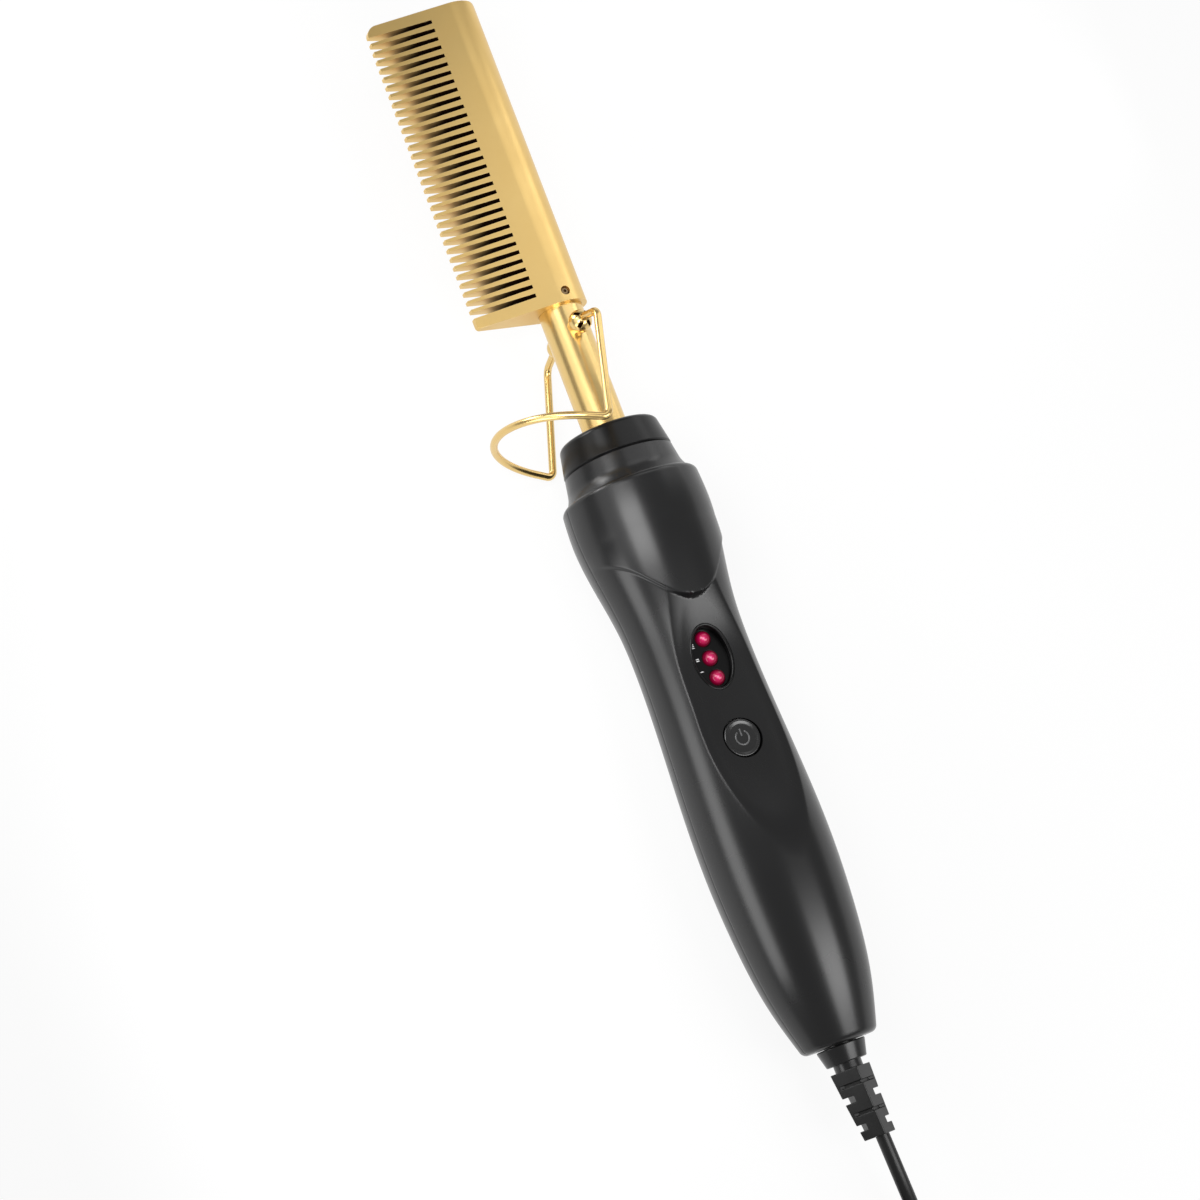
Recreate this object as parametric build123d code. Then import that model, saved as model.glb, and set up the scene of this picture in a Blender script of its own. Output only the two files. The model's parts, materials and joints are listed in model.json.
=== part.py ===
from build123d import *
import math
import os

# Electric hot comb, lying on its back on a table, all sizes in millimetres.
# Every piece is modelled in the tool's own frame and moved to the table at the end. In the tool's frame
# X runs from the handle's rear face to the comb's far end, Y points at the teeth's tips and Z at the button.

# ---- Handle, a turned shape with a thumb scoop ----
HANDLE_LENGTH = 140.6
END_RADIUS = 9.1
HEEL_X = 12.0
HEEL_RADIUS = 12.45
PALM_X = 30.0
PALM_RADIUS = 14.95
BELLY_X = 46.0
BELLY_RADIUS = 15.75
GRIP_X = 68.0
GRIP_RADIUS = 15.2
WAIST_SETBACK = 44.1
WAIST_RADIUS = 14.1
THUMB_SETBACK = 32.6
THUMB_RADIUS = 14.55
BULB_SETBACK = 9.1
BULB_RADIUS = 17.5
SHOULDER_RADIUS = 17.1
SHOULDER_FILLET = 1.5
END_FILLET = 1.2
WALL = 2.0
END_WALL = 2.5
FRONT_WALL = 2.0
TONGUE_SETBACK = 32.1
TONGUE_SPREAD = 11.7
TONGUE_REACH = 9.8
TONGUE_CREST = [(-4.0, 14.85), (7.5, 16.35), (19.0, 17.25), (26.5, 16.8)]
SCOOP_HOLLOW_RADIUS = 28.0
SCOOP_FLOOR = 9.6
SCOOP_REAR_REACH = 27.6
SCOOP_LEAD_IN = 13.6
SCOOP_LEAD_IN_Z = 12.3
SCOOP_LEVEL = 9.0
SCOOP_RAMP_TOP = 12.9
SCOOP_REAR_RISE = 0.6
SCOOP_FRONT_RISE = 3.0
SCOOP_DIP = 0.2
SCOOP_FALL = -0.25
SCOOP_CLIMB = 0.35
SCOOP_SECTIONS = 8

# ---- Neck and cap in front of the handle ----
NECK_LENGTH = 7.2
NECK_REAR_RADIUS = 15.6
NECK_FRONT_RADIUS = 13.7
NECK_SPIGOT_RADIUS = 11.8
NECK_BORE_RADIUS = 10.8
NECK_FLANGE_RADIUS = 13.6
NECK_FLANGE = 2.2
NECK_FLARE_SAG = 0.35
CAP_LENGTH = 7.6
CAP_FRONT_RADIUS = 12.3
CAP_FILLET = 1.5
CAP_SPIGOT_RADIUS = 10.5
CAP_SPIGOT_LENGTH = 4.0
CAP_TOP = 3.4
BUSHING_RADIUS = 8.0
BUSHING_FLANGE = 2.4
SEAM = 0.35

# ---- Shaft and comb head ----
SHAFT_RADIUS = 5.55
SHAFT_WALL = 0.8
SHAFT_SHOWN = 33.0
SHAFT_FLANGE_RADIUS = 6.8
SHAFT_FLANGE = 1.2
SHAFT_SETBACK = 14.0
HEAD_LENGTH = 81.9
SPINE_RADIUS = 6.95
TOOTH_TIP_Y = 22.6
TOOTH_TIP_THICKNESS = 1.6
SLOT_COUNT = 33
SLOT_PITCH = 2.34
SLOT_WIDTH = 0.95
SLOT_ROOT_Y = 7.1
SLOT_END_MARGIN = 3.45
SOCKET_DEPTH = 8.0
SET_SCREW_X = 2.6
SET_SCREW_RADIUS = 1.15
SET_SCREW_SINK = 0.55
SET_SCREW_SOCKET = 0.65
SET_SCREW_SOCKET_DEPTH = 0.8
HEAD_CORNER = 2.6
TOOTH_CORNER = 2.8
TOOTH_REAR_CORNER = 0.9

# ---- Heater inside the head ----
HEATER_BORE_RADIUS = 4.2
HEATER_SETBACK = 10.0
HEATER_LENGTH = 56.0
HEATER_CLEARANCE = 0.05
SLEEVE_WALL = 0.4
TABLET_COUNT = 3
TABLET_THICKNESS = 2.0
TABLET_WIDTH = 6.4
TABLET_GAP = 1.0
LEAD_RADIUS = 0.65
LEAD_GAP = 0.25
SENSOR_LEAD_RADIUS = 0.3
SENSOR_LEAD_Y = 0.4
SENSOR_SETBACK = 0.5
SENSOR_BEAD_RADIUS = 0.8
SENSOR_BEAD_LENGTH = 3.0
SENSOR_Z = 2.9
SENSOR_SOLDER_LENGTH = 4.0
FUSE_RADIUS = 1.45
FUSE_LENGTH = 9.0
FUSE_Z = -2.9
FUSE_AHEAD = 5.0
FUSE_WIRE = 4.0

# ---- Wire stand ----
WIRE_RADIUS = 0.95
PIVOT_SETBACK = 6.4
PIVOT_FIT = 0.05
STAND_KNEE_Z = 11.7
STAND_TOP = 18.9
STAND_TOP_BACK = 1.6
STAND_BEND = 2.5
FOOT_CORNER_BEND = 1.6
FOOT_CORNER_BACK = 28.4
FOOT_CORNER_Y = 7.85
FOOT_HALF_WIDTH = 20.5
FOOT_APEX_BACK = 20.75
FOOT_APEX_Y = 27.35
HOOP_START = 0.06
LUG_RADIUS = 2.85
LUG_CENTRE_Z = 8.35
LUG_FOOT_RADIUS = 2.2
WIRE_HEAD_RADIUS = 1.35
WIRE_HEAD_LENGTH = 0.8
WIRE_HEAD_GAP = 0.4

# ---- Indicator window ----
WINDOW_SETBACK = 46.6
WINDOW_HALF_LENGTH = 8.1
WINDOW_HALF_WIDTH = 5.3
BEZEL_WIDTH = 0.7
BEZEL_PROUD = 0.12
BEZEL_FLANGE = 1.0
PANEL_TOP = 8.7
PANEL_THICKNESS = 1.0
LEDGE = 0.45
LED_RADIUS = 1.9
LED_SPACING = 4.87
LED_CENTRE_Z = 8.5
SMALL_GAP = 0.1

# ---- Power button and its switch ----
BUTTON_SETBACK = 67.0
BUTTON_RADIUS = 4.6
BUTTON_TOP = 9.95
BUTTON_GAP = 0.35
BUTTON_FLANGE_RADIUS = 6.05
BUTTON_FLANGE_THICKNESS = 0.9
BUTTON_STOP_GAP = 0.3
BUTTON_CHAMFER = 0.35
SYMBOL_RADIUS = 1.9
SYMBOL_LINE = 0.45
SYMBOL_HEIGHT = 0.2
SYMBOL_OPENING = 1.5
SYMBOL_BAR_X = 1.52
SWITCH_SIDE = 6.0
SWITCH_HEIGHT = 3.0
PLUNGER_RADIUS = 1.7
PLUNGER_FIT = 0.05
PLUNGER_TRAVEL = 0.9
SWITCH_FLOOR = 0.8

# ---- Circuit board and what it carries ----
BOARD_REAR = 27.0
BOARD_SETBACK = 26.0
BOARD_WIDTH = 20.0
BOARD_BOTTOM = 1.0
BOARD_THICKNESS = 1.6
BOARD_GAP = 0.3
BOARD_SCREW_INSET = 5.5
BOARD_SCREW_Y = 6.6
BOARD_SCREW_RADIUS = 1.0
BOARD_POST_RADIUS = 2.2
SHELL_SCREW_RADIUS = 1.2
SHELL_BOSS_RADIUS = 2.6
SCREW_WELL_RADIUS = 3.8
SCREW_HEAD_RADIUS = 2.4
SCREW_HEAD_HEIGHT = 1.8
SCREW_FIT = 0.05
SCREW_ROUNDING = 0.4
CROSS_REACH = 0.6
CROSS_HALF_WIDTH = 0.3
BOARD_SCREW_LENGTH = 6.0
BOARD_SCREW_HEAD_RADIUS = 1.9
BOARD_SCREW_HEAD_HEIGHT = 1.2
SCREW_SEAT = 7.0
SCREW_REACH = 6.0
REAR_SCREW_X = 22.0
MIDDLE_SCREW_BACK = 15.6
CHIP_SETBACK = 93.1
CHIP_LENGTH = 5.0
CHIP_WIDTH = 4.0
CHIP_HEIGHT = 1.4
CHIP_LIFT = 0.2
CHIP_LEGS_A_SIDE = 4
CHIP_LEG_PITCH = 1.27
CHIP_LEG_WIDTH = 0.4
CHIP_SPAN = 6.2
CAPACITOR_SETBACK = 70.85
CAPACITOR_Y = 5.0
CAPACITOR_LENGTH = 11.5
CAPACITOR_RADIUS = 3.2
RESISTOR_AHEAD = 18.0
RESISTOR_Y = -5.6
RESISTOR_LENGTH = 10.0
RESISTOR_RADIUS = 1.6
RESISTOR_WIRE = 2.0
RESISTOR_WIRE_RADIUS = 0.4
TRIAC_SIZE = (10.0, 4.5, 9.0)
TRIAC_SETBACK = 52.6
TRIAC_Y = 4.75
FILM_CAPACITOR_SIZE = (13.0, 5.5, 9.0)
FILM_CAPACITOR_SETBACK = 58.6
FILM_CAPACITOR_Y = -4.25
TERMINAL_LENGTH = 9.0
TERMINAL_WIDTH = 10.0
TERMINAL_HEIGHT = 8.0

# ---- Cord swivel at the rear ----
SWIVEL_GAP = 0.25
CONE_LENGTH = 4.2
CONE_RADIUS = 6.0
CONE_SMALL_RADIUS = 4.9
SWIVEL_NECK_LENGTH = 1.7
SWIVEL_NECK_RADIUS = 3.4
SPINDLE_RADIUS = 4.0
SPINDLE_FIT = 0.05
SPINDLE_LENGTH = 14.0
WIRE_DUCT_RADIUS = 1.5
RETAINER_RADIUS = 5.6
RETAINER_THICKNESS = 1.0
RETAINER_SLOT = 2.4
GROOVE_RADIUS = 3.4
RING_WIDTH = 2.0
REAR_RING_X = 6.0
REAR_RING_RADIUS = 5.4
FRONT_RING_X = 10.0
FRONT_RING_RADIUS = 4.7
STRIP_THICKNESS = 0.3
STRIP_HALF_WIDTH = 0.6
STRIP_TAIL = 3.0

# ---- Strain relief ----
BOOT_LENGTH = 16.5
BOOT_SIDE = 7.35
BOOT_TIP_SIDE = 5.8
BOOT_TURN = 52.0
BOOT_ROUNDING = 0.35
BOOT_STUB_RADIUS = 2.2
BOOT_STUB_LENGTH = 3.0
CUT_PITCH = 6.8
GROOVE_OFFSET = 3.5
GROOVE_CUT = 0.8
GROOVE_TURN = 45.0
NOTCH_OFFSET = 6.7
NOTCH_CUT = 1.5
NOTCH_WEB = 5.0
GROOVE_DEPTH = 0.9
GROOVE_CORNER = 0.6

# ---- Cord, its coil and plug; the places are in the table's frame ----
CORD_DIAMETER = 3.4
CORD_FIRST_RUN = 9.5
CORNER_SHARE = 0.45
CORD_STEPS = [(-21.0, -2.0, 8.6), (-33.5, -3.4, 3.8), (-46.0, -3.1, 1.7)]
COIL_MEAN_RADIUS = 19.5
COIL_TURNS_WIDE = 4
COIL_TURNS_HIGH = 4
COIL_ROUNDING = 1.4
TIE_ANGLE = 14.0
TIE_THICKNESS = 0.8
TIE_TURN = 70.0
TAIL_LENGTH = 20.0
PLUG_RELIEF_LENGTH = 11.0
PLUG_RELIEF_RADIUS = 3.3
PLUG_RELIEF_TIP_RADIUS = 2.4
PLUG_REAR_WIDTH = 15.0
PLUG_REAR_THICKNESS = 10.0
PLUG_LENGTH = 27.0
PLUG_WIDTH = 35.3
PLUG_THICKNESS = 13.7
PLUG_ROUNDNESS = 0.45
PIN_RADIUS = 2.0
PIN_LENGTH = 19.0
PIN_SPACING = 18.6
PIN_TIP = 0.8

# ---- Search for how the tool lies on the table: largest tip in radians, and halvings of the range ----
TIP_LIMIT = 0.6
TIP_HALVINGS = 40
PROFILE_STEPS = 200

# ---- Reach of a cutter that goes right through ----
FAR = 60.0
THROUGH = (-FAR, FAR)
ROUND_SPAN = (-1.0, HANDLE_LENGTH + 1.0)

# ---- Places that follow from the sizes above ----
NECK_FRONT = HANDLE_LENGTH + NECK_LENGTH
CAP_FRONT = NECK_FRONT + CAP_LENGTH
HEAD_START = CAP_FRONT + SHAFT_SHOWN
TOOL_LENGTH = HEAD_START + HEAD_LENGTH
WAIST_X = HANDLE_LENGTH - WAIST_SETBACK
BULB_X = HANDLE_LENGTH - BULB_SETBACK
TONGUE_X = HANDLE_LENGTH - TONGUE_SETBACK
WINDOW_X = HANDLE_LENGTH - WINDOW_SETBACK
BUTTON_X = HANDLE_LENGTH - BUTTON_SETBACK
PIVOT_X = HEAD_START - PIVOT_SETBACK
HEATER_START = HEAD_START + HEATER_SETBACK
BOARD_TOP = BOARD_BOTTOM + BOARD_THICKNESS
BOARD_FRONT = HANDLE_LENGTH - BOARD_SETBACK
SHAFT_REAR = HANDLE_LENGTH - SHAFT_SETBACK
BUSHING_REAR = SHAFT_REAR + SHAFT_FLANGE
BUSHING_FLANGE_FRONT = BUSHING_REAR + BUSHING_FLANGE
SHAFT_BORE = SHAFT_RADIUS - SHAFT_WALL
BOOT_START = -SWIVEL_GAP - CONE_LENGTH - SWIVEL_NECK_LENGTH
BOOT_TIP = BOOT_START - BOOT_LENGTH
WIRE_INNER_END = SHAFT_BORE - WIRE_HEAD_GAP - WIRE_HEAD_LENGTH
FLANGE_TOP = SCOOP_FLOOR - WALL
FLANGE_LOW = FLANGE_TOP - BEZEL_FLANGE
BUTTON_SEAT = SCOOP_FLOOR - WALL
BUTTON_LOW = BUTTON_SEAT - BUTTON_STOP_GAP - BUTTON_FLANGE_THICKNESS
RETAINER_X = END_WALL + BUTTON_STOP_GAP
MIDDLE_SCREW_X = BUTTON_X - MIDDLE_SCREW_BACK
SHELL_SCREW_PLACES = (REAR_SCREW_X, MIDDLE_SCREW_X)
CHIP_X = HANDLE_LENGTH - CHIP_SETBACK
CAPACITOR_X = HANDLE_LENGTH - CAPACITOR_SETBACK
RESISTOR_X = BOARD_REAR + RESISTOR_AHEAD
TRIAC_X = HANDLE_LENGTH - TRIAC_SETBACK
FILM_CAPACITOR_X = HANDLE_LENGTH - FILM_CAPACITOR_SETBACK
BOARD_SCREW_PLACES = (
    (BOARD_REAR + BOARD_SCREW_INSET, BOARD_SCREW_Y),
    (BOARD_FRONT - TERMINAL_LENGTH - BOARD_SCREW_INSET, -BOARD_SCREW_Y),
)


# ---------------------------------------------------------------- small helpers
def rod_x(radius, start, end, y=0.0, z=0.0):
    """Round bar along X from start to end."""
    return Pos((start + end) / 2, y, z) * Rot(0, 90, 0) * Cylinder(radius, end - start)


def rod_z(radius, x, y, low, high):
    """Round bar along Z from low to high."""
    return Pos(x, y, (low + high) / 2) * Cylinder(radius, high - low)


def tube_x(outer, inner, start, end):
    """Round tube on the tool's axis."""
    return rod_x(outer, start, end) - rod_x(inner, start - 1, end + 1)


def block(x, y, z):
    """Box from three (low, high) pairs."""
    centre = Pos((x[0] + x[1]) / 2, (y[0] + y[1]) / 2, (z[0] + z[1]) / 2)
    return centre * Box(x[1] - x[0], y[1] - y[0], z[1] - z[0])


def cross_plane(x):
    """Plane across the tool at x, with the tool's Y and Z as its own axes."""
    return Plane(origin=(x, 0, 0), x_dir=(0, 1, 0), z_dir=(1, 0, 0))


def turned(*points):
    """Solid turned about X from the corners (x, radius) of its half section."""
    return revolve(make_face(Polyline(*points, close=True)), Axis.X)


def oval(half_length, half_width, low, high):
    """Oval bar along Z at the window's centre, longer along X."""
    return Pos(WINDOW_X, 0, low) * extrude(Ellipse(half_length, half_width), high - low)


# ---------------------------------------------------------------- handle's outer form
def handle_curve(inset=0.0):
    """Profile of the turned handle from its rear end to its shoulder."""
    return Spline(
        (0, END_RADIUS - inset),
        (HEEL_X, HEEL_RADIUS - inset),
        (PALM_X, PALM_RADIUS - inset),
        (BELLY_X, BELLY_RADIUS - inset),
        (GRIP_X, GRIP_RADIUS - inset),
        (WAIST_X, WAIST_RADIUS - inset),
        (HANDLE_LENGTH - THUMB_SETBACK, THUMB_RADIUS - inset),
        (BULB_X, BULB_RADIUS - inset),
        (HANDLE_LENGTH, SHOULDER_RADIUS - inset),
    )


def turned_handle(inset=0.0):
    """Handle before the thumb scoop, pressed in by inset all round but not at its ends."""
    curve = handle_curve(inset)
    rim = Polyline(curve @ 1, (HANDLE_LENGTH, 0), (0, 0), curve @ 0)
    return revolve(make_face([curve, rim]), Axis.X)


def scoop_curve(inset=0.0):
    """Floor line of the thumb scoop in the XZ plane."""
    return Spline(
        (BUTTON_X - SCOOP_REAR_REACH, BELLY_RADIUS + SCOOP_REAR_RISE - inset),
        (BUTTON_X - SCOOP_LEAD_IN, SCOOP_LEAD_IN_Z - inset),
        (BUTTON_X, SCOOP_FLOOR - inset),
        (WINDOW_X - SCOOP_LEVEL, SCOOP_FLOOR - SCOOP_DIP - inset),
        (WINDOW_X, SCOOP_FLOOR - inset),
        (TONGUE_X, SCOOP_RAMP_TOP - inset),
        (BULB_X, BULB_RADIUS + SCOOP_FRONT_RISE - inset),
        tangents=[(1, SCOOP_FALL), (1, SCOOP_CLIMB)],
    )


def scoop_cutter(inset=0.0):
    """What the thumb scoop takes away: hollow sections lofted along its floor line."""
    floor = scoop_curve(inset)
    half_width = BULB_RADIUS + SCOOP_FRONT_RISE
    rise = half_width**2 / (2 * SCOOP_HOLLOW_RADIUS)
    sections = []
    for step in range(SCOOP_SECTIONS + 1):
        point = floor @ (step / SCOOP_SECTIONS)
        hollow = ThreePointArc((-half_width, point.Y + rise), (0, point.Y), (half_width, point.Y + rise))
        lid = Polyline(hollow @ 1, (half_width, FAR), (-half_width, FAR), hollow @ 0)
        sections.append(cross_plane(point.X) * make_face([hollow, lid]))
    return loft(sections)


def tongue_prism():
    """Upright prism whose side is the tongue's edge, seen from the front."""
    slope = TONGUE_SPREAD / TONGUE_REACH
    far_side = slope * (BULB_X - TONGUE_X)
    edge = Spline(
        (BULB_X, -far_side),
        (TONGUE_X + TONGUE_REACH, -TONGUE_SPREAD),
        (TONGUE_X, 0),
        (TONGUE_X + TONGUE_REACH, TONGUE_SPREAD),
        (BULB_X, far_side),
        tangents=[(-1, slope), (1, slope)],
    )
    ahead = HANDLE_LENGTH + 1
    back = Polyline(edge @ 1, (ahead, TONGUE_SPREAD), (ahead, -TONGUE_SPREAD), edge @ 0)
    return extrude(make_face([edge, back]), 2 * BULB_RADIUS)


def tongue():
    """Raised thumb rest that runs out of the bulb in front."""
    crest = Spline(*[(TONGUE_X + offset, radius) for offset, radius in TONGUE_CREST])
    start = crest @ 0
    end = crest @ 1
    rim = Polyline(end, (end.X, 0), (start.X, 0), start)
    return revolve(make_face([crest, rim]), Axis.X) & tongue_prism()


def handle_form():
    """Handle's outer form as one solid, with the scoop and the tongue."""
    body = turned_handle()
    body = fillet(body.edges().filter_by(GeomType.CIRCLE).sort_by(Axis.X)[-1], SHOULDER_FILLET)
    body = fillet(body.edges().filter_by(GeomType.CIRCLE).sort_by(Axis.X)[0], END_FILLET)
    return body - (scoop_cutter() - tongue_prism()) + tongue()


def skin_of(form):
    """Hollow handle wall with its two round end openings."""
    hollow = turned_handle(WALL) - scoop_cutter(WALL)
    hollow &= block((END_WALL, HANDLE_LENGTH - FRONT_WALL), THROUGH, THROUGH)
    skin = form - hollow
    skin -= rod_x(SPINDLE_RADIUS + SPINDLE_FIT, -1, END_WALL + 1)
    return skin - rod_x(NECK_SPIGOT_RADIUS, HANDLE_LENGTH - FRONT_WALL - 1, HANDLE_LENGTH + 1)


def front_shell(form, skin):
    """Front half of the handle, with the window, the button's hole and the screw bosses."""
    shell = skin & block(ROUND_SPAN, THROUGH, (0, FAR))
    for x in SHELL_SCREW_PLACES:
        shell += rod_z(SHELL_BOSS_RADIUS, x, 0, 0, FAR) & form
        shell -= rod_z(SHELL_SCREW_RADIUS + SCREW_FIT, x, 0, -1, SCREW_REACH + 1)
    shell -= oval(WINDOW_HALF_LENGTH + SCREW_FIT, WINDOW_HALF_WIDTH + SCREW_FIT, BOARD_TOP, FAR)
    seat = BEZEL_FLANGE + SMALL_GAP
    shell -= oval(WINDOW_HALF_LENGTH + seat, WINDOW_HALF_WIDTH + seat, BOARD_TOP, FLANGE_TOP)
    shell -= rod_z(BUTTON_FLANGE_RADIUS + BUTTON_GAP, BUTTON_X, 0, BOARD_TOP, BUTTON_SEAT)
    return shell - rod_z(BUTTON_RADIUS + BUTTON_GAP, BUTTON_X, 0, BOARD_TOP, FAR)


def back_shell(form, skin):
    """Back half of the handle, with the screw wells and the board's posts."""
    shell = skin & block(ROUND_SPAN, THROUGH, (-FAR, 0))
    for x in SHELL_SCREW_PLACES:
        shell += rod_z(SCREW_WELL_RADIUS, x, 0, -FAR, 0) & form
        shell -= rod_z(SHELL_SCREW_RADIUS + SCREW_FIT, x, 0, -FAR, 1)
        shell -= rod_z(SCREW_HEAD_RADIUS + 2 * SCREW_FIT, x, 0, -FAR, -SCREW_SEAT)
    for x, y in BOARD_SCREW_PLACES:
        shell += rod_z(BOARD_POST_RADIUS, x, y, -FAR, BOARD_BOTTOM) & form
        shell -= rod_z(BOARD_SCREW_RADIUS, x, y, -BOARD_SCREW_LENGTH, BOARD_BOTTOM + 1)
    return shell


def screw(head_radius, head_height, radius, length):
    """Pan-head screw along Z with its head's underside at the origin and its thread pointing up."""
    body = rod_z(head_radius, 0, 0, -head_height, 0)
    body = fillet(body.edges().sort_by(Axis.Z)[0], head_height * SCREW_ROUNDING)
    reach = head_radius * CROSS_REACH
    cross = block((-reach, reach), (-CROSS_HALF_WIDTH, CROSS_HALF_WIDTH), (-head_height, -head_height / 2))
    body += rod_z(radius, 0, 0, 0, length)
    return body - cross - Rot(0, 0, 90) * cross


def shell_screws():
    """Screws that hold the shells together."""
    one = screw(SCREW_HEAD_RADIUS, SCREW_HEAD_HEIGHT, SHELL_SCREW_RADIUS, SCREW_SEAT + SCREW_REACH)
    return Compound(children=[Pos(x, 0, -SCREW_SEAT) * one for x in SHELL_SCREW_PLACES])


def board_screws():
    """Screws that hold the circuit board on its posts."""
    one = screw(BOARD_SCREW_HEAD_RADIUS, BOARD_SCREW_HEAD_HEIGHT, BOARD_SCREW_RADIUS, BOARD_SCREW_LENGTH)
    upright = Rot(180, 0, 0) * one
    return Compound(children=[Pos(x, y, BOARD_TOP) * upright for x, y in BOARD_SCREW_PLACES])


# ---------------------------------------------------------------- neck, cap and shaft
def neck_collar():
    """Flared collar that closes the handle's front and carries the cap."""
    wall = HANDLE_LENGTH - FRONT_WALL
    middle = (NECK_REAR_RADIUS + NECK_FRONT_RADIUS) / 2 - NECK_FLARE_SAG
    flare = ThreePointArc(
        (HANDLE_LENGTH, NECK_REAR_RADIUS),
        (HANDLE_LENGTH + NECK_LENGTH / 2, middle),
        (NECK_FRONT - SEAM, NECK_FRONT_RADIUS),
    )
    rest = Polyline(
        flare @ 1,
        (NECK_FRONT, NECK_FRONT_RADIUS - SEAM),
        (NECK_FRONT, CAP_SPIGOT_RADIUS),
        (NECK_FRONT + CAP_SPIGOT_LENGTH, CAP_SPIGOT_RADIUS),
        (NECK_FRONT + CAP_SPIGOT_LENGTH, BUSHING_RADIUS),
        (BUSHING_FLANGE_FRONT, BUSHING_RADIUS),
        (BUSHING_FLANGE_FRONT, NECK_BORE_RADIUS),
        (wall - NECK_FLANGE, NECK_BORE_RADIUS),
        (wall - NECK_FLANGE, NECK_FLANGE_RADIUS),
        (wall, NECK_FLANGE_RADIUS),
        (wall, NECK_SPIGOT_RADIUS),
        (HANDLE_LENGTH, NECK_SPIGOT_RADIUS),
        flare @ 0,
    )
    return revolve(make_face([flare, rest]), Axis.X)


def nose_cap():
    """Heat-proof cap that the shaft comes out of."""
    top = CAP_FRONT - CAP_TOP
    cap = turned(
        (NECK_FRONT, CAP_SPIGOT_RADIUS),
        (NECK_FRONT, NECK_FRONT_RADIUS - SEAM),
        (NECK_FRONT + SEAM, NECK_FRONT_RADIUS),
        (CAP_FRONT, CAP_FRONT_RADIUS),
        (CAP_FRONT, SHAFT_RADIUS + SMALL_GAP),
        (top, SHAFT_RADIUS + SMALL_GAP),
        (top, CAP_SPIGOT_RADIUS),
    )
    rim = cap.edges().filter_by(GeomType.CIRCLE).sort_by(Axis.X)[-2:]
    return fillet(rim.sort_by(lambda edge: edge.radius)[-1], CAP_FILLET)


def shaft_bushing():
    """Ceramic sleeve that keeps the hot shaft off the plastic neck."""
    return turned(
        (BUSHING_REAR, SHAFT_RADIUS),
        (BUSHING_REAR, NECK_BORE_RADIUS),
        (BUSHING_FLANGE_FRONT, NECK_BORE_RADIUS),
        (BUSHING_FLANGE_FRONT, BUSHING_RADIUS),
        (NECK_FRONT + CAP_SPIGOT_LENGTH, BUSHING_RADIUS),
        (NECK_FRONT + CAP_SPIGOT_LENGTH, SHAFT_RADIUS),
    )


def shaft_tube():
    """Metal tube from the bushing into the comb head, with holes for the stand and the set screw."""
    tube = tube_x(SHAFT_RADIUS, SHAFT_BORE, SHAFT_REAR, HEAD_START + SOCKET_DEPTH)
    tube += tube_x(SHAFT_FLANGE_RADIUS, SHAFT_BORE, SHAFT_REAR, SHAFT_REAR + SHAFT_FLANGE)
    tube -= rod_z(WIRE_RADIUS + PIVOT_FIT, PIVOT_X, 0, -FAR, FAR)
    return tube - rod_z(SET_SCREW_RADIUS, HEAD_START + SET_SCREW_X, 0, 0, FAR)


# ---------------------------------------------------------------- comb head and its heater
def head_section():
    """Wedge section of the head: flat sides tangent to the round spine."""
    half_tip = TOOTH_TIP_THICKNESS / 2
    reach = math.hypot(TOOTH_TIP_Y, half_tip)
    angle = math.atan2(half_tip, TOOTH_TIP_Y) + math.acos(SPINE_RADIUS / reach)
    touch = (SPINE_RADIUS * math.cos(angle), SPINE_RADIUS * math.sin(angle))
    wedge = Polyline(
        (touch[0], -touch[1]),
        (TOOTH_TIP_Y, -half_tip),
        (TOOTH_TIP_Y, half_tip),
        touch,
    )
    back = ThreePointArc(wedge @ 1, (-SPINE_RADIUS, 0), wedge @ 0)
    return make_face([wedge, back])


def comb_head():
    """Comb head with its teeth, the socket for the shaft and the heater's bore."""
    body = extrude(cross_plane(HEAD_START) * head_section(), HEAD_LENGTH)
    outline = Pos(HEAD_START + HEAD_LENGTH / 2, (TOOTH_TIP_Y - SPINE_RADIUS) / 2) * Rectangle(
        HEAD_LENGTH, TOOTH_TIP_Y + SPINE_RADIUS
    )
    far = outline.vertices().group_by(Axis.X)[-1].sort_by(Axis.Y)
    outline = fillet(far[0], HEAD_CORNER)
    far = outline.vertices().sort_by(lambda corner: -corner.X - corner.Y)
    outline = fillet(far[0], TOOTH_CORNER)
    rear = outline.vertices().sort_by(lambda corner: corner.X - corner.Y)
    outline = fillet(rear[0], TOOTH_REAR_CORNER)
    body &= extrude(outline, SPINE_RADIUS * 2, both=True)
    first = TOOL_LENGTH - SLOT_END_MARGIN
    for index in range(SLOT_COUNT):
        x = first - index * SLOT_PITCH
        body -= block((x - SLOT_WIDTH / 2, x + SLOT_WIDTH / 2), (SLOT_ROOT_Y, FAR), THROUGH)
    body -= rod_x(SHAFT_RADIUS, HEAD_START - 1, HEAD_START + SOCKET_DEPTH)
    body -= rod_x(HEATER_BORE_RADIUS, HEAD_START, HEATER_START + HEATER_LENGTH + 2)
    return body - rod_z(SET_SCREW_RADIUS, HEAD_START + SET_SCREW_X, 0, 0, FAR)


def head_set_screw():
    """Socket set screw that locks the head on the shaft."""
    top = SPINE_RADIUS - SET_SCREW_SINK
    body = rod_z(SET_SCREW_RADIUS, HEAD_START + SET_SCREW_X, 0, SHAFT_BORE, top)
    hexagon = extrude(RegularPolygon(SET_SCREW_SOCKET, 6), SET_SCREW_SOCKET_DEPTH)
    return body - Pos(HEAD_START + SET_SCREW_X, 0, top - SET_SCREW_SOCKET_DEPTH) * hexagon


def heater_sleeve():
    """Ceramic sleeve round the heater."""
    outer = HEATER_BORE_RADIUS - HEATER_CLEARANCE
    return tube_x(outer, outer - SLEEVE_WALL, HEATER_START, HEATER_START + HEATER_LENGTH)


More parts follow.
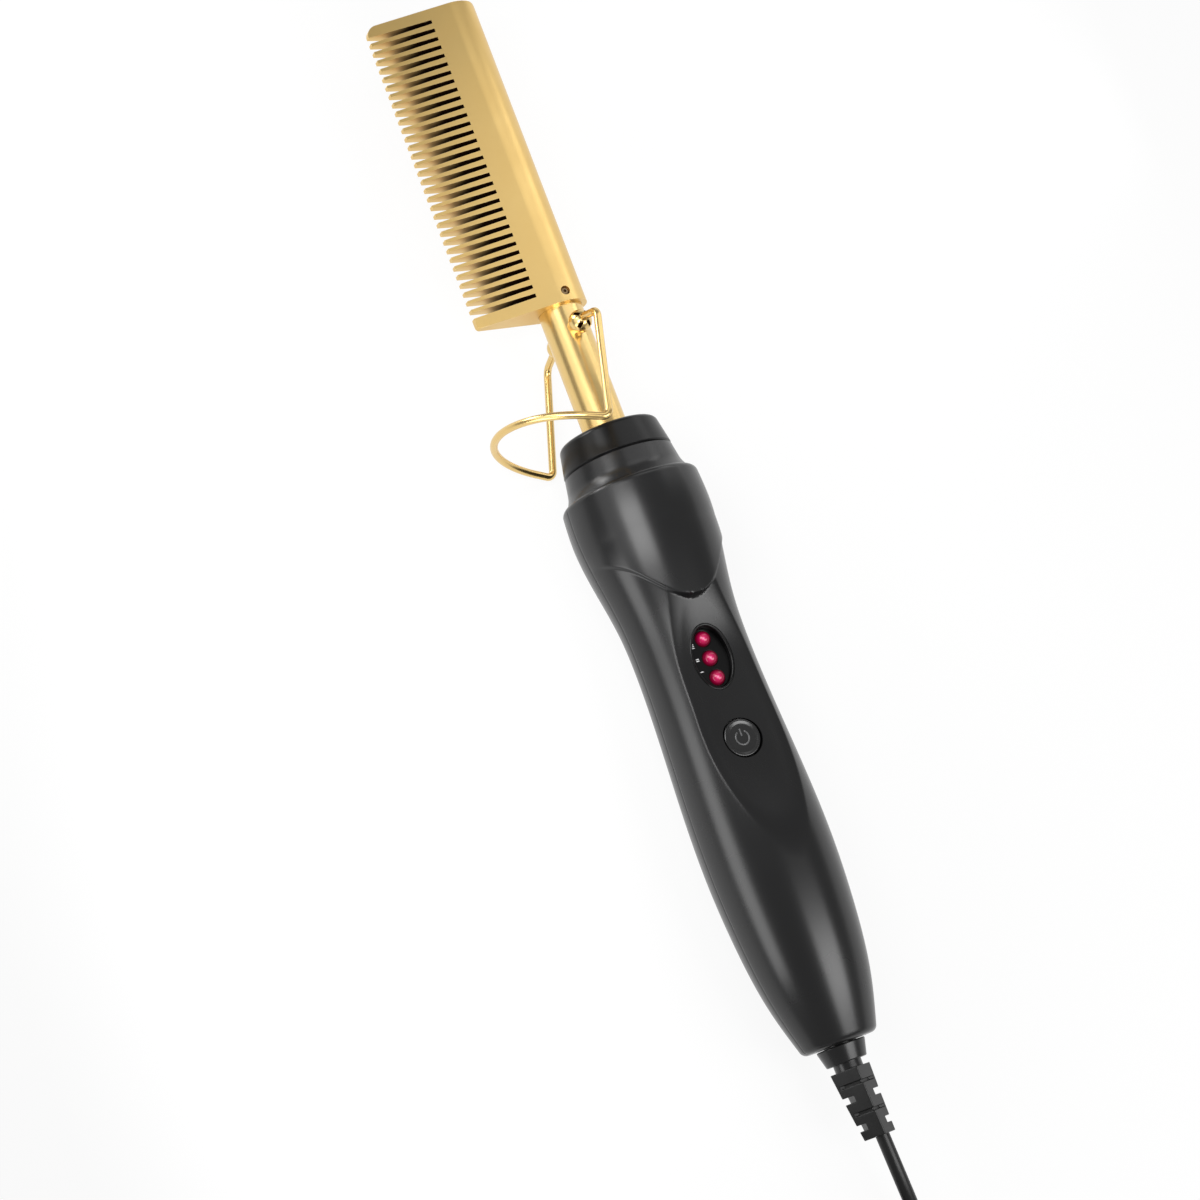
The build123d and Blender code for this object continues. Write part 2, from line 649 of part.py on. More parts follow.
def heater_electrode(side):
    """Half-round aluminium bar that feeds current to one face of the heating tablets."""
    radius = HEATER_BORE_RADIUS - HEATER_CLEARANCE - SLEEVE_WALL - HEATER_CLEARANCE
    bar = rod_x(radius, HEATER_START, HEATER_START + HEATER_LENGTH)
    near, far = sorted((side * TABLET_THICKNESS / 2, side * FAR))
    return bar & block((HEATER_START - 1, TOOL_LENGTH), (near, far), THROUGH)


def heater_tablets():
    """Heating tablets clamped between the electrodes."""
    length = (HEATER_LENGTH - TABLET_GAP * (TABLET_COUNT - 1)) / TABLET_COUNT
    thick = (-TABLET_THICKNESS / 2, TABLET_THICKNESS / 2)
    wide = (-TABLET_WIDTH / 2, TABLET_WIDTH / 2)
    starts = [HEATER_START + index * (length + TABLET_GAP) for index in range(TABLET_COUNT)]
    return Compound(children=[block((x, x + length), thick, wide) for x in starts])


def heater_leads():
    """Two insulated wires from the board's terminals to the heater."""
    offset = TABLET_THICKNESS / 2 + LEAD_RADIUS + LEAD_GAP
    leads = [rod_x(LEAD_RADIUS, BOARD_FRONT, HEATER_START, side * offset) for side in (-1, 1)]
    return Compound(children=leads)


def thermistor():
    """Glass bead that reads the head's temperature, with its two thin wires back to the board."""
    start = BOARD_FRONT - SENSOR_SOLDER_LENGTH
    end = HEATER_START - SENSOR_BEAD_LENGTH - SENSOR_SETBACK
    sensor = rod_x(SENSOR_BEAD_RADIUS, end, end + SENSOR_BEAD_LENGTH, 0, SENSOR_Z)
    for side in (-1, 1):
        sensor += rod_x(SENSOR_LEAD_RADIUS, start, end, side * SENSOR_LEAD_Y, SENSOR_Z)
    return sensor


def thermal_fuse():
    """One-shot thermal cut-out beside the heater's leads."""
    start = CAP_FRONT + FUSE_AHEAD
    end = start + FUSE_LENGTH
    body = rod_x(FUSE_RADIUS, start, end, 0, FUSE_Z)
    return body + rod_x(SENSOR_LEAD_RADIUS, start - FUSE_WIRE, end + FUSE_WIRE, 0, FUSE_Z)


# ---------------------------------------------------------------- stand
def stand_corners():
    """Top bend and foot corner of the stand's front leg, before they are rounded."""
    top = Vector(PIVOT_X - STAND_TOP_BACK, 0, STAND_TOP)
    foot = Vector(PIVOT_X - FOOT_CORNER_BACK, FOOT_CORNER_Y, FOOT_HALF_WIDTH)
    return top, foot


def stand_route():
    """The stand's front leg, and the hoop that joins it to the back leg."""
    top, foot = stand_corners()
    apex = (PIVOT_X - FOOT_APEX_BACK, FOOT_APEX_Y, 0)
    whole = ThreePointArc(foot, apex, (foot.X, foot.Y, -foot.Z))
    start = whole @ HOOP_START
    hoop = ThreePointArc(start, apex, (start.X, start.Y, -start.Z))
    heading = hoop % 0
    corner = start - heading * (start - foot).length
    leg = FilletPolyline(
        (PIVOT_X, 0, WIRE_INNER_END),
        (PIVOT_X, 0, STAND_KNEE_Z),
        top,
        corner,
        start,
        radius=[STAND_BEND, STAND_BEND, FOOT_CORNER_BEND],
    )
    return leg, hoop


def stand_wire():
    """Bent wire stand with an upset head on each end, inside the shaft."""
    leg, hoop = stand_route()
    back = leg.mirror(Plane.XY)
    path = Wire(leg.edges() + [hoop.edge()] + back.edges())
    section = Plane(origin=(PIVOT_X, 0, WIRE_INNER_END), z_dir=(0, 0, 1)) * Circle(WIRE_RADIUS)
    wire = sweep(section, path)
    low = WIRE_INNER_END
    for side in (1, -1):
        near, far = sorted((side * low, side * (low + WIRE_HEAD_LENGTH)))
        wire += rod_z(WIRE_HEAD_RADIUS, PIVOT_X, 0, near, far)
    return wire


def stand_lug(side):
    """Round lug on the shaft that one end of the stand turns in; side is 1 for the front."""
    lug = Pos(PIVOT_X, 0, LUG_CENTRE_Z) * Sphere(LUG_RADIUS)
    lug += rod_z(LUG_FOOT_RADIUS, PIVOT_X, 0, 0, LUG_CENTRE_Z)
    lug -= rod_x(SHAFT_RADIUS, PIVOT_X - 2 * LUG_RADIUS, PIVOT_X + 2 * LUG_RADIUS)
    lug -= rod_z(WIRE_RADIUS + PIVOT_FIT, PIVOT_X, 0, 0, FAR)
    return lug if side > 0 else lug.mirror(Plane.XY)


# ---------------------------------------------------------------- window, button and board
def indicator_bezel():
    """Glossy oval rim round the indicator window, flush with the scoop."""
    ring = oval(WINDOW_HALF_LENGTH, WINDOW_HALF_WIDTH, FLANGE_LOW, FAR) - scoop_cutter(-BEZEL_PROUD)
    wide = WINDOW_HALF_WIDTH + BEZEL_FLANGE
    ring += oval(WINDOW_HALF_LENGTH + BEZEL_FLANGE, wide, FLANGE_LOW, FLANGE_TOP)
    inner_length = WINDOW_HALF_LENGTH - BEZEL_WIDTH
    inner_width = WINDOW_HALF_WIDTH - BEZEL_WIDTH
    ring -= oval(inner_length, inner_width, PANEL_TOP - PANEL_THICKNESS, FAR)
    return ring - oval(inner_length - LEDGE, inner_width - LEDGE, 0, FAR)


def led_places():
    """Lamp centres along the handle, from the rear one to the front one."""
    return [WINDOW_X + step * LED_SPACING for step in (-1, 0, 1)]


def indicator_panel():
    """Black plate in the window with a hole for each lamp."""
    low = PANEL_TOP - PANEL_THICKNESS
    panel = oval(WINDOW_HALF_LENGTH - BEZEL_WIDTH, WINDOW_HALF_WIDTH - BEZEL_WIDTH, low, PANEL_TOP)
    for x in led_places():
        panel -= rod_z(LED_RADIUS + SMALL_GAP, x, 0, 0, FAR)
    return panel


def led(x):
    """Domed lamp standing on the board."""
    return rod_z(LED_RADIUS, x, 0, BOARD_TOP, LED_CENTRE_Z) + Pos(x, 0, LED_CENTRE_Z) * Sphere(LED_RADIUS)


def power_button():
    """Round button with a raised standby symbol and a flange that keeps it in its hole."""
    cap = rod_z(BUTTON_RADIUS, BUTTON_X, 0, BUTTON_LOW, BUTTON_TOP)
    cap = chamfer(cap.edges().sort_by(Axis.Z)[-1], BUTTON_CHAMFER)
    cap += rod_z(BUTTON_FLANGE_RADIUS, BUTTON_X, 0, BUTTON_LOW, BUTTON_LOW + BUTTON_FLANGE_THICKNESS)
    inner = SYMBOL_RADIUS - SYMBOL_LINE
    opening = Pos(SYMBOL_RADIUS, 0) * Rectangle(2 * SYMBOL_RADIUS, SYMBOL_OPENING)
    ring = Circle(SYMBOL_RADIUS) - Circle(inner) - opening
    bar = Pos(SYMBOL_BAR_X, 0) * Rectangle(SYMBOL_RADIUS, SYMBOL_LINE)
    for mark in (ring, bar):
        cap += Pos(BUTTON_X, 0, BUTTON_TOP - SMALL_GAP) * extrude(mark, SYMBOL_HEIGHT + SMALL_GAP)
    return cap


def tact_switch():
    """Push switch on the board under the button."""
    half = SWITCH_SIDE / 2
    body = block((BUTTON_X - half, BUTTON_X + half), (-half, half), (BOARD_TOP, BOARD_TOP + SWITCH_HEIGHT))
    return body - rod_z(PLUNGER_RADIUS + PLUNGER_FIT, BUTTON_X, 0, BOARD_TOP + SWITCH_FLOOR, FAR)


def switch_plunger():
    """Plunger of the push switch, carried down by the button."""
    return rod_z(PLUNGER_RADIUS, BUTTON_X, 0, BOARD_TOP + SWITCH_FLOOR + PLUNGER_TRAVEL, BUTTON_LOW)


def circuit_board():
    """Circuit board along the handle, on the posts."""
    half = BOARD_WIDTH / 2
    board = block((BOARD_REAR, BOARD_FRONT), (-half, half), (BOARD_BOTTOM, BOARD_TOP))
    board -= rod_z(SHELL_BOSS_RADIUS + BOARD_GAP, MIDDLE_SCREW_X, 0, -FAR, FAR)
    for x, y in BOARD_SCREW_PLACES:
        board -= rod_z(BOARD_SCREW_RADIUS + SCREW_FIT, x, y, -FAR, FAR)
    return board


def under_board(size, x, y):
    """Plain component of size (length, width, height) hanging under the board, its middle at x, y."""
    length, width, height = size
    return Pos(x, y, BOARD_BOTTOM - height / 2) * Box(length, width, height)


def terminal_block():
    """Screw terminal under the board's front end, where the heater's leads arrive."""
    size = (TERMINAL_LENGTH, TERMINAL_WIDTH, TERMINAL_HEIGHT)
    return under_board(size, BOARD_FRONT - TERMINAL_LENGTH / 2, 0)


def controller_chip():
    """Temperature controller on top of the board, with its two rows of legs."""
    chip = Pos(CHIP_X, 0, BOARD_TOP + CHIP_LIFT + CHIP_HEIGHT / 2) * Box(CHIP_LENGTH, CHIP_WIDTH, CHIP_HEIGHT)
    leg_height = CHIP_LIFT + CHIP_LEG_WIDTH
    for index in range(CHIP_LEGS_A_SIDE):
        x = CHIP_X + (index - (CHIP_LEGS_A_SIDE - 1) / 2) * CHIP_LEG_PITCH
        chip += Pos(x, 0, BOARD_TOP + leg_height / 2) * Box(CHIP_LEG_WIDTH, CHIP_SPAN, leg_height)
    return chip


def electrolytic_capacitor():
    """Smoothing capacitor lying under the board."""
    start = CAPACITOR_X - CAPACITOR_LENGTH / 2
    z = BOARD_BOTTOM - CAPACITOR_RADIUS
    return rod_x(CAPACITOR_RADIUS, start, start + CAPACITOR_LENGTH, CAPACITOR_Y, z)


def dropper_resistor():
    """Wire-wound resistor under the board."""
    start = RESISTOR_X - RESISTOR_LENGTH / 2
    end = RESISTOR_X + RESISTOR_LENGTH / 2
    z = BOARD_BOTTOM - RESISTOR_RADIUS
    body = rod_x(RESISTOR_RADIUS, start, end, RESISTOR_Y, z)
    return body + rod_x(RESISTOR_WIRE_RADIUS, start - RESISTOR_WIRE, end + RESISTOR_WIRE, RESISTOR_Y, z)


# ---------------------------------------------------------------- cord swivel and strain relief
def swivel_cone():
    """Cone at the handle's rear with the hollow spindle that turns inside the handle."""
    start = -SWIVEL_GAP
    neck = start - CONE_LENGTH
    cone = turned(
        (neck, 0),
        (neck, CONE_SMALL_RADIUS),
        (start, CONE_RADIUS),
        (start, 0),
    )
    cone += rod_x(SWIVEL_NECK_RADIUS, BOOT_START, neck)
    cone += rod_x(BOOT_STUB_RADIUS, BOOT_START - BOOT_STUB_LENGTH, BOOT_START)
    cone += rod_x(SPINDLE_RADIUS, start, SPINDLE_LENGTH)
    groove = RETAINER_X
    cone -= tube_x(SPINDLE_RADIUS + 1, GROOVE_RADIUS, groove, groove + RETAINER_THICKNESS)
    return cone - rod_x(WIRE_DUCT_RADIUS, BOOT_START - BOOT_STUB_LENGTH, SPINDLE_LENGTH)


def swivel_retainer():
    """Snap ring that keeps the spindle in the handle."""
    ring = tube_x(RETAINER_RADIUS, GROOVE_RADIUS, RETAINER_X, RETAINER_X + RETAINER_THICKNESS)
    return ring - block((0, 2 * RETAINER_X), (-RETAINER_SLOT / 2, RETAINER_SLOT / 2), (-FAR, 0))


def slip_ring(x, radius):
    """Brass ring on the spindle, starting at x."""
    return tube_x(radius, SPINDLE_RADIUS, x, x + RING_WIDTH)


def brush_contacts():
    """Two spring strips from the board to the slip rings."""
    strips = []
    rings = ((1, REAR_RING_X, REAR_RING_RADIUS), (-1, FRONT_RING_X, FRONT_RING_RADIUS))
    for side, ring_x, ring_radius in rings:
        inner = ring_radius + SMALL_GAP
        near, far = sorted((side * inner, side * (inner + STRIP_THICKNESS)))
        tail = BOARD_REAR + STRIP_TAIL
        middle = ring_x + RING_WIDTH / 2
        strip = block((middle - STRIP_HALF_WIDTH, tail), (near, far), (-STRIP_HALF_WIDTH, STRIP_HALF_WIDTH))
        strip += block((tail - 2, tail), (near, far), (STRIP_HALF_WIDTH, BOARD_BOTTOM))
        strips.append(strip)
    return Compound(children=strips)


def boot_square(x, side):
    """Rounded square section of the strain relief at x."""
    plane = Plane(origin=(x, 0, 0), x_dir=(0, 1, 0), z_dir=(-1, 0, 0))
    return plane * fillet(Rectangle(side, side).vertices(), BOOT_ROUNDING)


def boot_form(inset=0.0):
    """Tapered square boot, pressed in by inset on its four sides."""
    return loft([
        boot_square(BOOT_START, BOOT_SIDE - 2 * inset),
        boot_square(BOOT_TIP, BOOT_TIP_SIDE - 2 * inset),
    ])


def corner_knives(x, width, from_axis, turn):
    """Two slabs across the boot at x, from_axis away from its middle on opposite sides."""
    slab = block((x - width / 2, x + width / 2), THROUGH, (from_axis, FAR))
    return Rot(turn, 0, 0) * slab + Rot(turn + 180, 0, 0) * slab


def strain_relief():
    """Square tapered boot, grooved on its faces and notched at two corners in turn."""
    boot = boot_form()
    core = boot_form(GROOVE_DEPTH)
    offset = GROOVE_OFFSET
    while offset + GROOVE_CUT < BOOT_LENGTH:
        boot -= corner_knives(BOOT_START - offset, GROOVE_CUT, GROOVE_CORNER, GROOVE_TURN) - core
        offset += CUT_PITCH
    offset = NOTCH_OFFSET
    while offset + NOTCH_CUT < BOOT_LENGTH:
        boot -= corner_knives(BOOT_START - offset, NOTCH_CUT, NOTCH_WEB / 2, -GROOVE_TURN)
        offset += CUT_PITCH
    boot -= rod_x(BOOT_STUB_RADIUS, BOOT_START - BOOT_STUB_LENGTH, BOOT_START + 1)
    return Rot(-BOOT_TURN, 0, 0) * boot


# ---------------------------------------------------------------- cord, coil and plug, in the table's frame
def cord_route(leaving, heading):
    """Route of the cord from the strain relief's tip to the coil, its points chosen by hand."""
    points = [leaving, leaving + heading * CORD_FIRST_RUN]
    return points + [Vector(leaving.X + dx, leaving.Y + dy, height) for dx, dy, height in CORD_STEPS]


def cord_radii(points):
    """Radius of the arc at each corner of the route, as large as its two runs allow."""
    radii = []
    for before, corner, after in zip(points, points[1:], points[2:]):
        turn = (corner - before).get_angle(after - corner)
        shorter = min((corner - before).length, (after - corner).length)
        radii.append(CORNER_SHARE * shorter / math.tan(math.radians(turn / 2)))
    return radii


def cord_tube(points):
    """Round cord along straight runs joined by tangent arcs."""
    radii = cord_radii(points)
    path = FilletPolyline(*points, radius=radii)
    section = Plane(origin=points[0], z_dir=points[1] - points[0]) * Circle(CORD_DIAMETER / 2)
    tube = sweep(section, Wire(path.edges()))
    expected = math.pi * CORD_DIAMETER**2 / 4 * path.length
    print("cord radii", [round(radius, 1) for radius in radii], "length", round(path.length, 1))
    print("cord volume against section times length", round(tube.volume / expected, 4))
    return tube


def coil_centre(cord_end):
    """Centre of the coil on the table, with the cord running on into its outer turn."""
    outer_turn = COIL_MEAN_RADIUS + (COIL_TURNS_WIDE - 1) * CORD_DIAMETER / 2
    return Vector(cord_end.X, cord_end.Y + outer_turn, 0)


def coil_ring(inset, angle):
    """Part of the coil's ring, pressed in by inset, from the X axis through angle."""
    wide = COIL_TURNS_WIDE * CORD_DIAMETER
    high = COIL_TURNS_HIGH * CORD_DIAMETER
    section = RectangleRounded(wide - 2 * inset, high - 2 * inset, COIL_ROUNDING - inset / 2)
    return revolve(Plane.XZ * Pos(COIL_MEAN_RADIUS, high / 2) * section, Axis.Z, angle)


def cord_coil(centre):
    """Outer shape of the coiled cord, drawn in where the tie goes round it."""
    coil = Rot(0, 0, TIE_ANGLE) * coil_ring(0, 360 - TIE_ANGLE) + coil_ring(TIE_THICKNESS, TIE_ANGLE)
    return Pos(centre) * Rot(0, 0, TIE_TURN) * coil


def cord_tie(centre):
    """Strap round the coil."""
    tie = coil_ring(0, TIE_ANGLE) - coil_ring(TIE_THICKNESS, TIE_ANGLE)
    return Pos(centre) * Rot(0, 0, TIE_TURN) * tie


def tail_start(cord_end):
    """Where the cord leaves the coil for the plug, above the turn that it came in by."""
    return Vector(cord_end.X, cord_end.Y, PLUG_THICKNESS / 2)


def cord_tail(cord_end):
    """Straight end of the cord between the coil and the plug."""
    start = tail_start(cord_end)
    return rod_x(CORD_DIAMETER / 2, start.X - TAIL_LENGTH, start.X, start.Y, start.Z)


def plug_body(cord_end):
    """Flat moulded plug with its own short strain relief."""
    start = tail_start(cord_end)
    rear = start.X - TAIL_LENGTH
    relief = Plane(origin=(rear, start.Y, start.Z), z_dir=(-1, 0, 0)) * Cone(
        PLUG_RELIEF_TIP_RADIUS,
        PLUG_RELIEF_RADIUS,
        PLUG_RELIEF_LENGTH,
        align=(Align.CENTER, Align.CENTER, Align.MIN),
    )
    sections = []
    for offset, width, thickness in (
        (PLUG_RELIEF_LENGTH, PLUG_REAR_WIDTH, PLUG_REAR_THICKNESS),
        (PLUG_RELIEF_LENGTH + PLUG_LENGTH, PLUG_WIDTH, PLUG_THICKNESS),
    ):
        plane = Plane(origin=(rear - offset, start.Y, start.Z), x_dir=(0, 1, 0), z_dir=(-1, 0, 0))
        sections.append(plane * RectangleRounded(width, thickness, thickness * PLUG_ROUNDNESS))
    return relief + loft(sections)


def plug_pins(cord_end):
    """The plug's two round pins."""
    start = tail_start(cord_end)
    face = start.X - TAIL_LENGTH - PLUG_RELIEF_LENGTH - PLUG_LENGTH
    pins = []
    for side in (-1, 1):
        pin = rod_x(PIN_RADIUS, face - PIN_LENGTH, face, start.Y + side * PIN_SPACING / 2, start.Z)
        pins.append(fillet(pin.edges().sort_by(Axis.X)[0], PIN_TIP))
    return Compound(children=pins)


# ---------------------------------------------------------------- standing on the table
def table_normal():
    """Upward normal of the table, in the tool's frame, with the back belly and the stand's back leg on it."""
    top, foot = stand_corners()
    leg_end = Vector(foot.X, foot.Y, -foot.Z)
    leg_start = Vector(top.X, top.Y, -top.Z)
    along = (leg_start - leg_end).normalized()
    across = Vector(0, 0, 1).cross(along).normalized()
    up = along.cross(across)
    profile = handle_curve()
    stations = [profile @ (step / PROFILE_STEPS) for step in range(PROFILE_STEPS + 1)]

    def handle_below_stand(angle):
        """Height of the stand's underside over the handle's lowest point, with the table tipped by angle."""
        normal = up * math.cos(angle) + across * math.sin(angle)
        spread = math.hypot(normal.Y, normal.Z)
        handle = min(normal.X * point.X - spread * point.Y for point in stations)
        return normal.dot(leg_start) - WIRE_RADIUS - handle

    low = 0.0
    high = TIP_LIMIT if handle_below_stand(TIP_LIMIT) > 0 else -TIP_LIMIT
    for _ in range(TIP_HALVINGS):
        middle = (low + high) / 2
        if handle_below_stand(middle) < 0:
            low = middle
        else:
            high = middle
    return up * math.cos(high) + across * math.sin(high)


def tool_pieces():
    """Every piece of the tool itself, by name, in the tool's frame."""
    form = handle_form()
    skin = skin_of(form)
    low, mid, high = led_places()
    return {
        "comb_head": comb_head(),
        "head_set_screw": head_set_screw(),
        "heater_sleeve": heater_sleeve(),
        "heater_electrode_spine": heater_electrode(-1),
        "heater_electrode_teeth": heater_electrode(1),
        "heater_tablets": heater_tablets(),
        "heater_leads": heater_leads(),
        "thermistor": thermistor(),
        "thermal_fuse": thermal_fuse(),
        "shaft_tube": shaft_tube(),
        "shaft_bushing": shaft_bushing(),
        "neck_collar": neck_collar(),
        "nose_cap": nose_cap(),
        "front_shell": front_shell(form, skin),
        "back_shell": back_shell(form, skin),
        "shell_screws": shell_screws(),
        "circuit_board": circuit_board(),
        "board_screws": board_screws(),
        "controller_chip": controller_chip(),
        "triac": under_board(TRIAC_SIZE, TRIAC_X, TRIAC_Y),
        "film_capacitor": under_board(FILM_CAPACITOR_SIZE, FILM_CAPACITOR_X, FILM_CAPACITOR_Y),
        "electrolytic_capacitor": electrolytic_capacitor(),
        "dropper_resistor": dropper_resistor(),
        "terminal_block": terminal_block(),
        "indicator_bezel": indicator_bezel(),
        "indicator_panel": indicator_panel(),
        "led_low": led(low),
        "led_mid": led(mid),
        "led_high": led(high),
        "power_button": power_button(),
        "switch_plunger": switch_plunger(),
        "tact_switch": tact_switch(),
        "stand_lug_front": stand_lug(1),
        "stand_lug_back": stand_lug(-1),
        "stand_wire": stand_wire(),
        "swivel_cone": swivel_cone(),
        "swivel_retainer": swivel_retainer(),
        "slip_ring_rear": slip_ring(REAR_RING_X, REAR_RING_RADIUS),
        "slip_ring_front": slip_ring(FRONT_RING_X, FRONT_RING_RADIUS),
        "brush_contacts": brush_contacts(),
        "strain_relief": strain_relief(),
    }


def stand_on_table(pieces):
    """Location that takes the tool's frame to the table's: floor at zero, origin under the middle."""
    tip = Plane(origin=(0, 0, 0), x_dir=(1, 0, 0), z_dir=table_normal()).location.inverse()
    box = Compound(children=[tip * piece for piece in pieces.values()]).bounding_box()
    centre = box.center()
    return Pos(-centre.X, -centre.Y, -box.min.Z) * tip


def cord_pieces(place):
    """The cord and what is on it, by name, in the table's frame."""
    leaving = (place * Pos(BOOT_TIP, 0, 0)).position
    heading = (leaving - (place * Pos(BOOT_TIP + 1, 0, 0)).position).normalized()
    route = cord_route(leaving, heading)
    centre = coil_centre(route[-1])
    print("cord points", [tuple(round(part, 3) for part in point) for point in route])
    print("coil centre", tuple(round(part, 3) for part in centre))
    return {
        "power_cord": cord_tube(route),
        "cord_coil": cord_coil(centre),
        "cord_tie": cord_tie(centre),
        "cord_tail": cord_tail(route[-1]),
        "plug_body": plug_body(route[-1]),
        "plug_pins": plug_pins(route[-1]),
    }


def all_pieces():
    """Every piece by name, in the table's frame, and the location of the tool's frame in it."""
    tool = tool_pieces()
    place = stand_on_table(tool)
    pieces = {name: place * piece for name, piece in tool.items()}
    pieces.update(cord_pieces(place))
    return pieces, place


def main():
    """Write one STEP file for each piece."""
    os.makedirs("parts", exist_ok=True)
    pieces, place = all_pieces()
    print("tool frame at", place)
    for name, piece in pieces.items():
        export_step(piece, f"parts/{name}.step")


if __name__ == "__main__":
    main()
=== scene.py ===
"""Visual model of an electric hot comb that lies on its back beside its coiled cord.

Every piece is built in the tool's own frame (X along the handle to the comb's far end, Y to the
teeth's tips, Z to the button, millimetres) and put into the table's frame in metres at the end.
"""

from __future__ import annotations

import json
import logging
import math
from dataclasses import dataclass, field, replace
from enum import Enum
from typing import Iterable, Sequence

import bmesh
import bpy
import numpy as np
from mathutils import Matrix, Vector

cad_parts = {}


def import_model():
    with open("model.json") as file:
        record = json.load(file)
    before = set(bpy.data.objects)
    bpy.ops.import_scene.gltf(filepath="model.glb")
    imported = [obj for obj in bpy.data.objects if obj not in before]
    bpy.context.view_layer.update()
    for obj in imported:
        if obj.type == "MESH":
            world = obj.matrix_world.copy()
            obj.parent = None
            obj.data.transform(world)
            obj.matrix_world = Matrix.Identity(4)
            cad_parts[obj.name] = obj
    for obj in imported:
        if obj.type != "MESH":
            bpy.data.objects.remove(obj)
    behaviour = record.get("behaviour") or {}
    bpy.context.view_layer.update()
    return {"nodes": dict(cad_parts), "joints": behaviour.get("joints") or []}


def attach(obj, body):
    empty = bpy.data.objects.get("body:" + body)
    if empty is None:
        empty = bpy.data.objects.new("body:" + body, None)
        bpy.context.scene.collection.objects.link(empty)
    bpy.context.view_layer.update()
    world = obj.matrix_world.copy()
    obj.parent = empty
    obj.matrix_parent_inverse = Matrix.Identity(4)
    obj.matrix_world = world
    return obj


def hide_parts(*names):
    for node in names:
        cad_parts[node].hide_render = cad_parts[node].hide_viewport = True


LOG = logging.getLogger("hot_comb")
MM = 0.001
PLAIN = Matrix.Identity(4)
UNMET = 99.0  # radius in millimetres that stands for a form that a ray doesn't meet

Colour = tuple[float, float, float]
Point = tuple[float, float, float]
Pair = tuple[float, float]


class Body(Enum):
    """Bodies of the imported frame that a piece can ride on."""

    TOOL = "tool"
    STAND = "stand"
    BUTTON = "button"
    SWIVEL = "swivel"


# ------------------------------------------------------------------ frame of the tool
@dataclass(frozen=True)
class ToolFrame:
    """Place of the tool's own axes on the table.

    Attributes:
        matrix: turns a point in tool millimetres into table metres.
    """

    matrix: Matrix

    @classmethod
    def from_joints(cls, joints: Sequence[dict]) -> "ToolFrame":
        """Reads the axes from the joints that lie on them.

        Args:
            joints: the record's joints.

        Returns:
            The frame whose X is the swivel's axis and whose Z is the stand's axis.
        """
        swivel = next(j for j in joints if j["name"] == "cord_swivel")
        pivot = next(j for j in joints if j["name"] == "stand_pivot")
        x_axis = Vector(swivel["axis"]).normalized()
        z_axis = Vector(pivot["axis"]).normalized()
        y_axis = z_axis.cross(x_axis).normalized()
        z_axis = x_axis.cross(y_axis)
        turn = Matrix((x_axis, y_axis, z_axis)).transposed().to_4x4()
        place = Matrix.Translation(Vector(swivel["pos_m"]))
        return cls(place @ turn @ Matrix.Scale(MM, 4))

    def point(self, x: float, y: float, z: float) -> Vector:
        """Table place of a point given in tool millimetres."""
        return self.matrix @ Vector((x, y, z))

    def direction(self, x: float, y: float, z: float) -> Vector:
        """Table direction of a direction given in the tool's axes."""
        return (self.matrix.to_3x3() @ Vector((x, y, z))).normalized()


# ------------------------------------------------------------------ mesh helpers
def new_object(name: str, data: bpy.types.ID) -> bpy.types.Object:
    """Links a mesh, curve, lamp or camera to the scene as an object at the origin."""
    made = bpy.data.objects.new(name, data)
    bpy.context.scene.collection.objects.link(made)
    return made


def applied(piece: bpy.types.Object) -> bpy.types.Object:
    """Turns a piece with modifiers into a plain mesh.

    Args:
        piece: object whose modifiers are to become its mesh.

    Returns:
        The same object with the evaluated mesh and no modifiers.
    """
    bpy.context.view_layer.update()
    evaluated = piece.evaluated_get(bpy.context.evaluated_depsgraph_get())
    mesh = bpy.data.meshes.new_from_object(evaluated)
    mesh.name = piece.name
    piece.modifiers.clear()
    piece.data = mesh
    return piece


def bevelled(
    piece: bpy.types.Object, width: float, segments: int = 2, angle: float = 40.0, unit: float = MM
) -> bpy.types.Object:
    """Rounds a piece's sharp edges.

    Args:
        piece: closed mesh.
        width: width of the rounding in millimetres.
        segments: steps across the rounding.
        angle: smallest angle in degrees of an edge that is rounded.
        unit: length of a millimetre in the mesh.

    Returns:
        The same object, with its mesh rounded.
    """
    bevel = piece.modifiers.new("rounding", "BEVEL")
    bevel.width = width * unit
    bevel.segments = segments
    bevel.limit_method = "ANGLE"
    bevel.angle_limit = math.radians(angle)
    bevel.use_clamp_overlap = True
    return applied(piece)


def softened(node: bpy.types.Object, name: str, width: float, segments: int = 2) -> bpy.types.Object:
    """Copies a solid of the frame, joins its loose triangles and rounds its edges.

    Args:
        node: solid of the frame, which stays as it is.
        name: name of the new piece.
        width: width of the rounding in millimetres.
        segments: steps across the rounding.

    Returns:
        The new piece in table metres.
    """
    work = bmesh.new()
    work.from_mesh(node.data)
    bmesh.ops.remove_doubles(work, verts=work.verts, dist=0.002 * MM)
    bmesh.ops.dissolve_limit(work, angle_limit=math.radians(1.0), verts=work.verts, edges=work.edges)
    mesh = bpy.data.meshes.new(name)
    work.to_mesh(mesh)
    work.free()
    mesh.materials.clear()
    return bevelled(new_object(name, mesh), width, segments)


